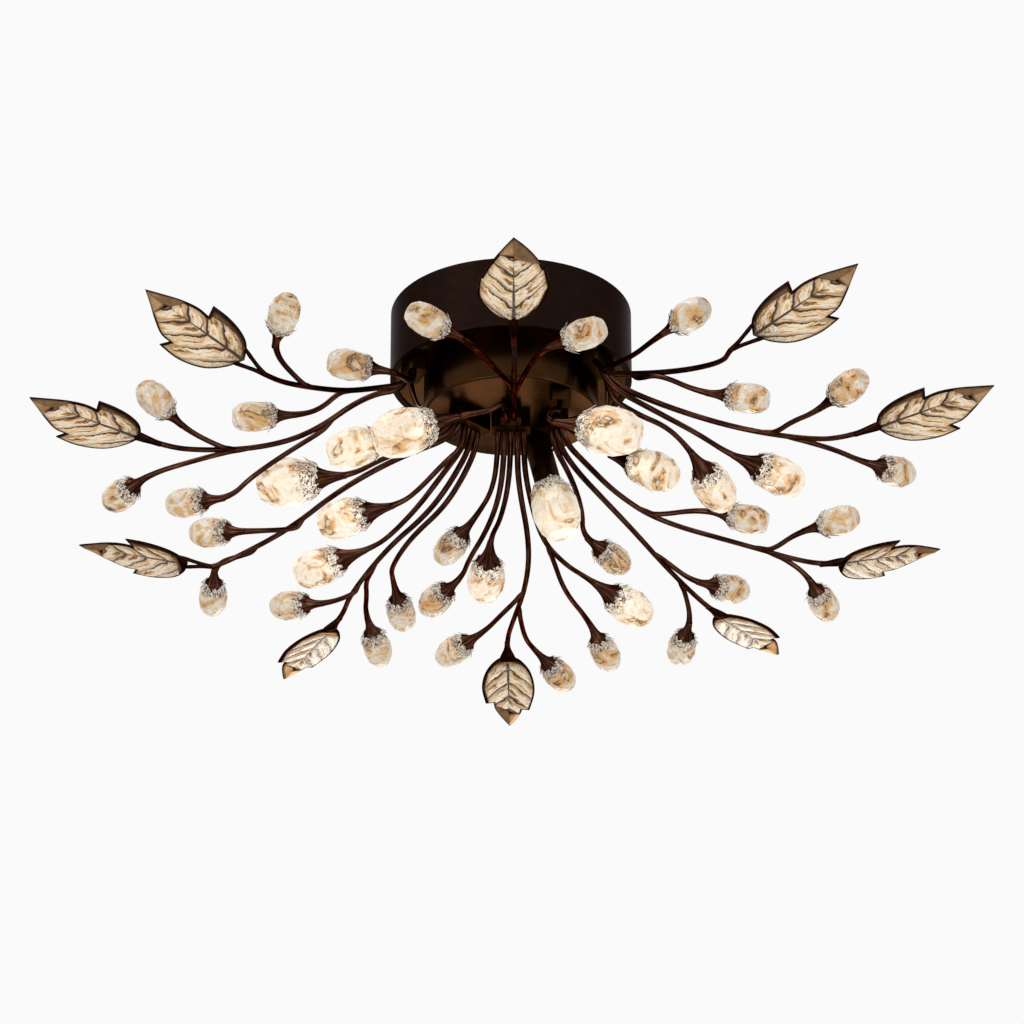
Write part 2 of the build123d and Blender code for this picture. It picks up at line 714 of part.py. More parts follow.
# Block screws, driven down from inside the canopy and the hub
with BuildPart() as m3_screw:
    with BuildSketch():
        Circle(m3_head_d / 2)
    extrude(amount=m3_head_t)
    fillet(m3_screw.edges().group_by(Axis.Z)[-1], radius=0.6)
    with BuildSketch():
        Circle(m3_d / 2)
    extrude(amount=-(plate_t + m3_reach))
    with Locations((0, 0, m3_head_t)):
        Box(3.4, 0.8, 1.8, mode=Mode.SUBTRACT)
        Box(0.8, 3.4, 1.8, mode=Mode.SUBTRACT)
screw_seats = [Location((x, y, plate_top)) for x, y in fixing_places(lip_top)]
screw_seats += [Location((x, y, hub_floor_top)) for x, y in fixing_places(hub_bottom)]
place_all(m3_screw, screw_seats, "block_screws")


# Stems: one rod, or one tube for a lit bud, swept along each path
for cluster, names in clusters.items():
    with BuildPart() as stem_group:
        for name in names:
            points = stem_points(name)
            with BuildLine() as path:
                FilletPolyline(*points, radius=bend_radii(points))
            start = Plane(origin=points[0], z_dir=Vector(*points[1]) - Vector(*points[0]))
            with BuildSketch(start):
                Circle(rod_r)
                if name in heads and heads[name].kind != "small":
                    Circle(tube_bore_d / 2, mode=Mode.SUBTRACT)
            sweep(path=path.line)
    save(stem_group.part, f"stems_{cluster}")

# Bell of a small bud: a bored neck that opens into a cup for the crystal's root
with BuildPart() as small_bell:
    with BuildSketch(Plane.XZ):
        with BuildLine():
            Polyline(
                (small_mouth_d / 2, small_bell_l),
                (small_mouth_d / 2 - bell_lip, small_bell_l),
                (small_root_d / 2 + seat_gap, neck_bore + neck_web),
                (0, neck_bore + neck_web),
                (0, neck_bore),
                (rod_d / 2 + rod_play, neck_bore),
                (rod_d / 2 + rod_play, 0),
                (small_neck_d / 2, 0),
                (small_neck_d / 2, neck_bore * 0.6),
            )
            Spline(
                (small_neck_d / 2, neck_bore * 0.6),
                (small_neck_d / 2 + 1.6, neck_bore + neck_web),
                (small_mouth_d / 2, small_bell_l),
                tangents=((0, 1), (1, 1)),
            )
        make_face()
    revolve(axis=Axis.Z)

# Bell of a lit bud: the same, with a socket for the lamp holder and a step for the crystal
with BuildPart() as lit_bell:
    with BuildSketch(Plane.XZ):
        with BuildLine():
            Polyline(
                (lit_mouth_d / 2, lit_bell_l),
                (lit_mouth_d / 2 - bell_lip, lit_bell_l),
                (lit_root_d / 2 + seat_gap, lit_root),
                (holder_d / 2 + seat_gap, lit_root),
                (holder_d / 2 + seat_gap, neck_bore + neck_web),
                (tube_bore_d / 2, neck_bore + neck_web),
                (tube_bore_d / 2, neck_bore),
                (rod_d / 2 + rod_play, neck_bore),
                (rod_d / 2 + rod_play, 0),
                (lit_neck_d / 2, 0),
                (lit_neck_d / 2, neck_bore * 0.6),
            )
            Spline(
                (lit_neck_d / 2, neck_bore * 0.6),
                (holder_d / 2 + 2.0, neck_bore + neck_web + 1.0),
                (lit_root_d / 2 + 1.6, lit_root),
                (lit_mouth_d / 2, lit_bell_l),
                tangents=((0, 1), (1, 1.4)),
            )
        make_face()
    revolve(axis=Axis.Z)


# Crystals: lofted through their rings of facets, from the root to the flat end
with BuildPart() as small_crystal:
    for distance, radius in [(neck_bore + neck_web + seat_gap, small_root_d / 2), *small_rings]:
        with BuildSketch(Plane.XY.offset(distance)):
            RegularPolygon(radius, facets)
    loft(ruled=True)

lit_pieces = {}
for kind, rings in (("lit", lit_rings), ("big", big_rings)):
    with BuildPart() as lit_crystal:
        for distance, radius in [(lit_root + seat_gap, lit_root_d / 2), *rings]:
            with BuildSketch(Plane.XY.offset(distance)):
                RegularPolygon(radius, facets)
        loft(ruled=True)
        with BuildSketch(Plane.XY.offset(lit_root + seat_gap)):
            Circle(lamp_bore_d / 2)
        extrude(amount=lamp_bore_end - lit_root - seat_gap, mode=Mode.SUBTRACT)
    lit_pieces[kind] = lit_crystal.part

# Lamp sleeve under the hub: it leans out and carries the twelfth lit crystal
sleeve_axis = heading(sleeve_turn, sleeve_rise)
sleeve_start = (*sleeve_foot, hub_bottom)
sleeve_neck = along(sleeve_start, sleeve_axis, sleeve_l)
bore_r = sleeve_d / 2 - sleeve_wall
with BuildPart() as lamp_sleeve:
    with BuildSketch(Plane.XY.offset(hub_bottom)):
        with Locations(sleeve_foot):
            Circle(sleeve_flange_d / 2)
    extrude(amount=-sleeve_flange_t)
    sleeve_side = Vector(0, 0, 1).cross(Vector(*sleeve_axis))
    section = Plane(origin=sleeve_neck, x_dir=sleeve_axis, z_dir=sleeve_side)
    with BuildSketch(section):
        with BuildLine():
            Polyline(
                (-sleeve_l - 10.0, 0),
                (-sleeve_l - 10.0, sleeve_d / 2),
                (lit_root, sleeve_d / 2),
                (lit_bell_l, lit_mouth_d / 2),
                (lit_bell_l, 0),
                close=True,
            )
        make_face()
    revolve(axis=Axis(sleeve_neck, sleeve_axis))
    with BuildSketch(section):
        with BuildLine():
            Polyline(
                (-sleeve_l - 12.0, 0),
                (-sleeve_l - 12.0, bore_r),
                (0, bore_r),
                (0, tube_bore_d / 2),
                (neck_bore + neck_web, tube_bore_d / 2),
                (neck_bore + neck_web, holder_d / 2 + seat_gap),
                (lit_root, holder_d / 2 + seat_gap),
                (lit_root, lit_root_d / 2 + seat_gap),
                (lit_bell_l, lit_mouth_d / 2 - bell_lip),
                (lit_bell_l, 0),
                close=True,
            )
        make_face()
    revolve(axis=Axis(sleeve_neck, sleeve_axis), mode=Mode.SUBTRACT)
    split(bisect_by=Plane(origin=(0, 0, hub_bottom)), keep=Keep.BOTTOM)
    with BuildSketch(Plane.XY.offset(hub_bottom)):
        with Locations(sleeve_foot):
            with Locations((-sleeve_screw_x, 0), (sleeve_screw_x, 0)):
                Circle(m3_d / 2 + thread_play)
    extrude(amount=-sleeve_flange_t, mode=Mode.SUBTRACT)
save(lamp_sleeve.part, "lamp_sleeve")


def head_place(name):
    """Where a bud's pieces stand: its neck, with Z along the bud."""
    head = heads[name]
    return on_axis(head.neck, heading(head.turn, head.rise))


sleeve_place = on_axis(sleeve_neck, sleeve_axis)
medium_lit = []
large_lit = [sleeve_place]
for cluster, names in clusters.items():
    buds = [name for name in names if name in heads]
    small = [head_place(name) for name in buds if heads[name].kind == "small"]
    medium = [head_place(name) for name in buds if heads[name].kind == "lit"]
    large = [head_place(name) for name in buds if heads[name].kind == "big"]
    medium_lit += medium
    large_lit += large
    with BuildPart() as bells:
        with Locations(*small):
            add(small_bell.part)
        if medium + large:
            with Locations(*medium, *large):
                add(lit_bell.part)
    save(bells.part, f"bells_{cluster}")
    place_all(small_crystal, small, f"small_crystals_{cluster}")

with BuildPart() as lit_crystals:
    with Locations(*medium_lit):
        add(lit_pieces["lit"])
    with Locations(*large_lit):
        add(lit_pieces["big"])
save(lit_crystals.part, "lit_crystals")

# Lamp holders and lamps inside the lit buds
with BuildPart() as lamp_holder:
    with BuildSketch(Plane.XY.offset(neck_bore + neck_web + 0.1)):
        Circle(holder_d / 2)
    extrude(amount=holder_l)
holder_end = neck_bore + neck_web + 0.1 + holder_l
with BuildPart() as capsule_lamp:
    with BuildSketch(Plane.XY.offset(holder_end)):
        Circle(lamp_foot_d / 2)
    extrude(amount=lamp_foot_l)
    with BuildSketch(Plane.XY.offset(holder_end + lamp_foot_l)):
        Circle(lamp_d / 2)
    extrude(amount=lamp_l)
    fillet(capsule_lamp.edges().group_by(Axis.Z)[-1], radius=lamp_d * 0.4)
place_all(lamp_holder, medium_lit + large_lit, "lamp_holders")
place_all(capsule_lamp, medium_lit + large_lit, "lamps")


def drawn_in(points, start, end, flange):
    """Points of an outline drawn in from the leaf's base, from its point and from its side."""
    share_l = (leaf_l - start - end) / leaf_l
    share_w = 1 - flange / max(abs(y) for x, y in points)
    return [(start + x * share_l, y * share_w) for x, y in points]


# Leaf outlines of each shape and side: the rim, the window in it and the pane in the window.
# Three gaps at the pane's point keep it clear of the notches too.
outlines = {}
for shape, side in sorted({(leaf.shape, leaf.wide_side) for leaf in leaves.values()}):
    for use, start, end, draw in (
        ("rim", 0.0, 0.0, (0.0, 0.0)),
        ("window", window_start, solid_point, (wide_flange, thin_flange)),
        (
            "pane", window_start + glass_gap, solid_point + 3 * glass_gap,
            (wide_flange + glass_gap, thin_flange + glass_gap),
        ),
    ):
        lobe_a, blade_a, lobe_b, blade_b = [
            [(x, y * side) for x, y in drawn_in(points, start, end, flange)]
            for points, flange in zip(leaf_shapes[shape], (draw[0], draw[0], draw[1], draw[1]))
        ]
        with BuildSketch() as outline:
            with BuildLine():
                left = Spline(*lobe_a)
                left_blade = Spline(*blade_a)
                right = Spline(*lobe_b)
                right_blade = Spline(*blade_b)
                Line(left @ 1, left_blade @ 0)
                Line(right @ 1, right_blade @ 0)
            make_face()
        outlines[shape, side, use] = outline.sketch

# Leaf frames: a bronze rim with a solid point, a small fork and a ferrule for the rod.
# Leaf crystals: one pressed pane that fills the rim's window.
leaf_frames = {}
leaf_panes = {}
for shape, side in sorted({(leaf.shape, leaf.wide_side) for leaf in leaves.values()}):
    with BuildPart() as leaf_frame:
        with BuildSketch(Plane.XY.offset(-leaf_rim_t / 2)):
            add(outlines[shape, side, "rim"])
        extrude(amount=leaf_rim_t)
        for arm in (1, -1):
            with BuildSketch(Plane.XY.offset(-leaf_rim_t / 2)):
                with BuildLine():
                    Polyline(
                        (-ferrule_l * 0.55, arm * 0.5),
                        (6.0, arm * fork_reach),
                        (8.0, arm * (fork_reach - fork_w)),
                        (-ferrule_l * 0.2, 0),
                        close=True,
                    )
                make_face()
            extrude(amount=leaf_rim_t)
        with BuildSketch(Plane.XY.offset(-leaf_rim_t / 2 - 1.0)):
            add(outlines[shape, side, "window"])
        extrude(amount=leaf_rim_t + 2.0, mode=Mode.SUBTRACT)
        with BuildSketch(Plane.YZ.offset(-ferrule_l)):
            Circle(ferrule_d / 2)
        extrude(amount=ferrule_l + ferrule_in)
        with BuildSketch(Plane.YZ.offset(-ferrule_l)):
            Circle(rod_d / 2 + rod_play)
        extrude(amount=ferrule_bore, mode=Mode.SUBTRACT)
    with BuildPart() as leaf_pane:
        with BuildSketch(Plane.XY.offset(-leaf_glass_t / 2)):
            add(outlines[shape, side, "pane"])
        extrude(amount=leaf_glass_t)
        with BuildSketch(Plane.YZ.offset(-ferrule_l)):
            Circle(ferrule_d / 2 + glass_gap)
        extrude(amount=ferrule_l + ferrule_in + glass_gap, mode=Mode.SUBTRACT)
    leaf_frames[shape, side] = leaf_frame
    leaf_panes[shape, side] = leaf_pane


def leaf_place(leaf):
    """Where a leaf stands: its base, with X along the blade and its roll applied."""
    direction = Vector(*heading(leaf.turn, leaf.rise))
    level = Vector(0, 0, 1).cross(direction)
    normal = direction.cross(level.normalized()).rotate(Axis((0, 0, 0), direction), leaf.roll)
    return Plane(origin=leaf.base, x_dir=direction, z_dir=normal).location


for name, leaf in leaves.items():
    place_all(leaf_frames[leaf.shape, leaf.wide_side], [leaf_place(leaf)], f"{name}_frame")
    place_all(leaf_panes[leaf.shape, leaf.wide_side], [leaf_place(leaf)], f"{name}_crystal")

# Lamp driver: a closed case with an ear and a screw at each end
with BuildPart() as driver_case:
    with BuildSketch(Plane.XY.offset(plate_top)):
        with Locations(driver_at):
            RectangleRounded(driver_l, driver_w, 3.0)
    extrude(amount=driver_h)
    fillet(driver_case.edges().group_by(Axis.Z)[-1], radius=1.5)
    with BuildSketch(Plane.XY.offset(plate_top)):
        with Locations(driver_at):
            Rectangle(driver_l + 2 * driver_ear_l, 12.0)
        with Locations(*driver_screws):
            Circle(m3_hole_d / 2, mode=Mode.SUBTRACT)
    extrude(amount=driver_ear_t)
save(driver_case.part, "driver_case")

# Short screws, which hold the driver's ears and the flange of the lamp sleeve
with BuildPart() as short_screw:
    with BuildSketch():
        Circle(m3_head_d / 2)
    extrude(amount=m3_head_t)
    with BuildSketch():
        Circle(m3_d / 2)
    extrude(amount=-(hub_floor_t + sleeve_flange_t))
short_seats = [Location((x, y, plate_top + driver_ear_t)) for x, y in driver_screws]
short_seats += [
    Location((sleeve_foot[0] + side * sleeve_screw_x, sleeve_foot[1], hub_floor_top))
    for side in (1, -1)
]
place_all(short_screw, short_seats, "short_screws")

# Terminal block, with a wire mouth and a clamp screw for each way
way_pitch = terminal_l / terminal_ways
way_x = [terminal_at[0] + way_pitch * (i - (terminal_ways - 1) / 2) for i in range(terminal_ways)]
with BuildPart() as terminal_block:
    with BuildSketch(Plane.XY.offset(plate_top)):
        with Locations(terminal_at):
            RectangleRounded(terminal_l, terminal_w, 1.5)
    extrude(amount=terminal_h)
    mouth = Plane(origin=(0, terminal_at[1] - terminal_w / 2, plate_top), z_dir=(0, -1, 0))
    with BuildSketch(mouth):
        with Locations(*[(x, 5.0) for x in way_x]):
            Circle(2.0)
    extrude(amount=-6.0, mode=Mode.SUBTRACT)
    with BuildSketch(Plane.XY.offset(plate_top + terminal_h)):
        with Locations(*[(x, terminal_at[1] - 4.0) for x in way_x]):
            Circle(2.2)
    extrude(amount=-2.5, mode=Mode.SUBTRACT)
save(terminal_block.part, "terminal_block")

# Grommet in the hole between the canopy and the hub
with BuildPart() as grommet:
    with BuildSketch(Plane.XY.offset(lip_top - grommet_lip)):
        Circle(plate_hole_d / 2 + grommet_lip)
    extrude(amount=plate_t + 2 * grommet_lip)
    with BuildSketch(Plane.XY.offset(lip_top)):
        Circle(plate_hole_d / 2 + grommet_lip + 1.0)
        Circle(plate_hole_d / 2, mode=Mode.SUBTRACT)
    extrude(amount=plate_t, mode=Mode.SUBTRACT)
    with BuildSketch(Plane.XY.offset(lip_top - grommet_lip)):
        Circle(plate_hole_d / 2 - grommet_wall)
    extrude(amount=plate_t + 2 * grommet_lip, mode=Mode.SUBTRACT)
save(grommet.part, "grommet")

# Leads: two from the terminal block to the driver, two from the driver into the hub
lead_z = plate_top + 9.0
driver_front = driver_at[1] - driver_w / 2
terminal_back = terminal_at[1] + terminal_w / 2
with BuildPart() as leads:
    for x, shift in ((way_x[0], 0.0), (way_x[1], 1.0)):
        points = [
            (x, terminal_back, lead_z),
            (x, terminal_back + 12.0, lead_z),
            (x + 8.0, (terminal_back + driver_front) / 2 + shift, lead_z + 3.0),
            (x - 2.0, driver_front - 12.0, lead_z),
            (x - 2.0, driver_front, lead_z),
        ]
        with BuildLine() as route:
            FilletPolyline(*points, radius=bend_radii(points))
        with BuildSketch(Plane(origin=points[0], z_dir=(0, 1, 0))):
            Circle(lead_d / 2)
        sweep(path=route.line)
    for x in (-2.0, 2.0):
        points = [
            (x, driver_front, lead_z),
            (x, 0.0, lead_z),
            (x, 0.0, hub_floor_top + 8.0),
        ]
        with BuildLine() as route:
            FilletPolyline(*points, radius=bend_radii(points))
        with BuildSketch(Plane(origin=points[0], z_dir=(0, -1, 0))):
            Circle(lead_d / 2)
        sweep(path=route.line)
save(leads.part, "internal_leads")
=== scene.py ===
# Crystal flush mount ceiling light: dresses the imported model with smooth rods, fluted bells, cut
# crystals, pressed leaves and finishes of bronze, glass and steel. The scene is in metres, +Z up,
# with the ceiling at zero. The tables of blocks, buds, leaves and rods are in millimetres.
import math
import random
from collections import namedtuple

import bmesh
import bpy
from mathutils import Matrix, Vector
from mathutils.geometry import delaunay_2d_cdt


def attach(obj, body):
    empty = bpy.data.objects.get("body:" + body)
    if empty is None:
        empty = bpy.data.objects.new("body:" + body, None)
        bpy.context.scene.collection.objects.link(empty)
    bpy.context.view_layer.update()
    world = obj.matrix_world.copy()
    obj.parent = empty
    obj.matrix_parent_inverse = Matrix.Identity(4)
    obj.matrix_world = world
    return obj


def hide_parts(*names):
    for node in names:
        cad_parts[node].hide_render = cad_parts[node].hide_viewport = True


bl_info = {
    "name": "Crystal Ceiling Light",
    "version": (1, 0, 0),
    "blender": (4, 5, 0),
    "location": "View3D > Sidebar > Ceiling Light",
    "description": "Builds the finished look of a crystal flush mount ceiling light",
    "category": "Object",
}

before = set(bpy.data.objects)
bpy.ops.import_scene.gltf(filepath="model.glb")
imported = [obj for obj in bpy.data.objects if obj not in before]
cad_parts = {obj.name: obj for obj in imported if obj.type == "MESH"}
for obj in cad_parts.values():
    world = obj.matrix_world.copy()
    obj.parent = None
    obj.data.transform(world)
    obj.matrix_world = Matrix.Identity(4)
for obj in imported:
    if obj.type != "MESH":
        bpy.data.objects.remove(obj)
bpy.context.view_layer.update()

MM = 0.001
UP = Vector((0.0, 0.0, 1.0))
FIXTURE = "fixture"

Bud = namedtuple("Bud", "cluster size neck turn rise")
Leaf = namedtuple("Leaf", "cluster base turn rise roll outline side neck fork")

# The photograph's view: how far the camera looks up, its distance, aim, lens and image width
CAMERA_TILT = math.radians(26.0)
CAMERA_DISTANCE = 3.6
CAMERA_AIM = Vector((0.0, 0.0, -0.181))
CAMERA_LENS = 155.25
IMAGE_WIDTH = 1024.0

# Lamps of the studio: place, width, power and tone; then the floor's level and half width
LAMPS = {
    "key_lamp": ((-1.6, -1.9, -1.5), 1.3, 20.0, (1.0, 0.97, 0.93)),
    "fill_lamp": ((1.9, -1.4, -1.1), 1.5, 15.0, (1.0, 0.98, 0.96)),
    "back_lamp": ((0.3, 2.2, -0.9), 1.2, 13.0, (1.0, 0.97, 0.93)),
    "top_lamp": ((-0.8, -0.6, 1.6), 1.4, 14.0, (1.0, 1.0, 1.0)),
}
FLOOR_LEVEL = -2.4
FLOOR_HALF = 4.0

# Stem blocks: middle of the row of holes, the way the rods leave, holes and level
BLOCKS = {
    "west": ((-82.0, -30.0), 200.0, 4, -60.8),
    "east": ((73.5, -42.0), -26.0, 6, -60.8),
    "southwest": ((-36.0, 0.0), 138.0, 6, -94.0),
    "southeast": ((37.0, 4.0), 54.0, 3, -94.0),
    "south": ((0.0, 8.0), 90.0, 5, -94.0),
    "north": ((0.0, -14.0), -90.0, 2, -94.0),
    "single": ((40.0, -46.0), -90.0, 1, -94.0),
}

# Pitch of the holes, depth of a block, drop of a rod below it, straight run before a rod's seat,
# ferrule of a leaf, gap between the middles of a rod and its carrier, and a rod's sides
HOLE_PITCH = 5.2
BLOCK_DEPTH = 10.0
BLOCK_DROP = 9.0
STRAIGHT_END = 14.0
FERRULE_LENGTH = 9.0
BESIDE_PITCH = 4.2
ROD_SIDES = 12

# Buds: cluster, size, place of the neck, turn from +X and rise above level, in degrees
BUDS = {
    "L1": Bud("north", "big", (-47, -83, -138), -175, -20),
    "L8": Bud("north", "big", (40, -83, -142), -10, -15),
    "S3": Bud("north", "small", (-43, -215, -133), -145, 10),
    "S4": Bud("north", "small", (34, -193, -130), -30, 5),
    "L2": Bud("west", "lit", (-93, -50, -138), -170, -20),
    "S1": Bud("west", "small", (-183, -196, -127), -75, 20),
    "S2": Bud("west", "small", (-103, -128, -118), -160, 0),
    "S8": Bud("west", "small", (-269, -83, -139), -125, 15),
    "S9": Bud("west", "small", (-180, -83, -135), -165, -10),
    "S10": Bud("west", "small", (-302, -14, -160), 130, -5),
    "S11": Bud("west", "small", (-242, 15, -162), 155, 5),
    "L9": Bud("east", "lit", (87, -1, -132), -25, -30),
    "L10": Bud("east", "lit", (150, -13, -138), 60, -20),
    "L11": Bud("east", "lit", (187, -23, -144), 30, -10),
    "S5": Bud("east", "small", (122, -198, -120), -50, 5),
    "S6": Bud("east", "small", (163, -112, -131), -15, -15),
    "S7": Bud("east", "small", (251, -106, -137), -50, 10),
    "S14": Bud("east", "small", (292, -41, -158), 40, 5),
    "L3": Bud("southwest", "big", (-142, -7, -152), 165, 0),
    "L4": Bud("southwest", "lit", (-104, 41, -157), 160, -6),
    "L5": Bud("southwest", "lit", (-130, 143, -150), 155, -10),
    "S12": Bud("southwest", "small", (-227, 74, -163), 155, 10),
    "S13": Bud("southwest", "small", (-252, 158, -163), 95, -20),
    "S21": Bud("southwest", "small", (-167, 200, -171), 150, 10),
    "S22": Bud("southwest", "small", (-123, 250, -167), 75, -25),
    "S23": Bud("southwest", "small", (-99, 199, -159), 80, -20),
    "S15": Bud("southeast", "small", (252, 104, -146), -35, 0),
    "S16": Bud("southeast", "small", (172, 79, -143), -5, -15),
    "S17": Bud("southeast", "small", (255, 155, -173), 65, -15),
    "S18": Bud("southeast", "small", (165, 174, -164), 35, 5),
    "S19": Bud("southeast", "small", (153, 241, -175), 100, -15),
    "S20": Bud("southeast", "small", (69, 133, -145), 50, -10),
    "L6": Bud("south", "lit", (-18, 146, -144), 95, -20),
    "L12": Bud("south", "lit", (75, 210, -149), 40, -15),
    "S24": Bud("south", "small", (-49, 186, -159), 125, -10),
    "S25": Bud("south", "small", (-36, 109, -141), 125, -20),
    "S26": Bud("south", "small", (-31, 269, -171), 135, -10),
    "S27": Bud("south", "small", (27, 303, -175), 55, -15),
    "S28": Bud("south", "small", (72, 277, -161), 65, -25),
}
CLUSTERS = ("north", "west", "east", "southwest", "southeast", "south")

# The bud on the sleeve under the hub: top and length of the sleeve, its turn and its rise
SLEEVE_TOP = (22.0, 50.0, -94.0)
SLEEVE_LENGTH = 20.0
SLEEVE_TURN = 3.0
SLEEVE_RISE = -76.0

# Leaves: cluster, place of the blade's base, turn, rise and roll in degrees, outline, the side
# that the wide flange is on, length of solid metal at the base, and how far a fork runs back
LEAVES = {
    "leaf_1": Leaf("north", (2, -297, -166), -90, 9, 0, "whole", 1, 2.5, 0.0),
    "leaf_2": Leaf("east", (186, -243, -148), -37, 17, -20, "long", -1, 3.0, 13.0),
    "leaf_3": Leaf("east", (290, -107, -158), -26, 8, -18, "long", -1, 4.0, 0.0),
    "leaf_4": Leaf("southeast", (277, 140, -160), 22, 17, -12, "long", -1, 9.0, 0.0),
    "leaf_5": Leaf("southeast", (180, 245, -160), 56, 0, 4, "broad", -1, 11.0, 0.0),
    "leaf_6": Leaf("south", (-3, 296, -176), 89, -14, 0, "broad", 1, 12.0, 0.0),
    "leaf_7": Leaf("southwest", (-156, 259, -166), 117, -5, -12, "broad", 1, 13.0, 0.0),
    "leaf_8": Leaf("southwest", (-273, 137, -162), 166, 16, 10, "long", 1, 12.0, 13.0),
    "leaf_9": Leaf("west", (-295, -97, -162), -145, 3, 14, "long", 1, 5.0, 0.0),
    "leaf_10": Leaf("west", (-206, -221, -158), -137, 14, 24, "long", 1, 3.0, 13.0),
}

# Length of a leaf, its thin rim, where its point turns solid, and its flange at the lobe's end
LEAF_LENGTH = 102.0
THIN_RIM = 1.35
SOLID_POINT = 78.0
WIDE_FLANGE = {"long": 7.0, "broad": 2.4, "whole": THIN_RIM}

# Parts of each stretch of an outline, distance from the base past which a window's corners run
# together, pitches of the points inside a pane and a rim, and flat coordinates in decimetres
OUTLINE_PARTS = 7
WINDOW_END = 95.0
PANE_PITCH = (1.55, 1.4)
RIM_PITCH = 1.25
FLAT_SCALE = 10.0

# Leaf outlines from base to point: lobe and blade of the wide side, then of the other side
LEAF_SHAPES = {
    "long": (
        [(0.0, 0.0), (8.0, 11.5), (20.0, 18.0), (36.0, 21.5), (52.0, 22.0)],
        [(48.5, 12.5), (60.0, 13.2), (74.0, 10.5), (88.0, 5.5), (LEAF_LENGTH, 0.0)],
        [(0.0, 0.0), (7.0, -14.0), (20.0, -26.0), (40.0, -32.0), (60.0, -31.0)],
        [(55.5, -24.0), (66.0, -22.8), (79.0, -15.5), (91.0, -7.2), (LEAF_LENGTH, 0.0)],
    ),
    "broad": (
        [(0.0, 0.0), (8.0, 10.5), (24.0, 19.5), (46.0, 23.5), (69.0, 20.5)],
        [(68.0, 13.5), (76.0, 12.6), (85.0, 9.0), (94.0, 4.4), (LEAF_LENGTH, 0.0)],
        [(0.0, 0.0), (8.0, -11.0), (26.0, -20.0), (52.0, -23.0), (79.0, -18.0)],
        [(78.0, -11.5), (83.0, -10.4), (89.0, -7.5), (95.5, -4.0), (LEAF_LENGTH, 0.0)],
    ),
    "whole": (
        [(0.0, 0.0), (8.0, 11.0), (22.0, 20.5), (44.0, 26.8), (66.0, 23.8)],
        [(66.4, 22.0), (75.0, 18.6), (84.0, 13.8), (93.0, 7.6), (LEAF_LENGTH, 0.0)],
        [(0.0, 0.0), (7.0, -11.5), (17.5, -20.0), (34.0, -26.5), (56.0, -25.5)],
        [(56.4, -23.6), (68.0, -19.0), (80.0, -13.0), (91.0, -6.8), (LEAF_LENGTH, 0.0)],
    ),
}

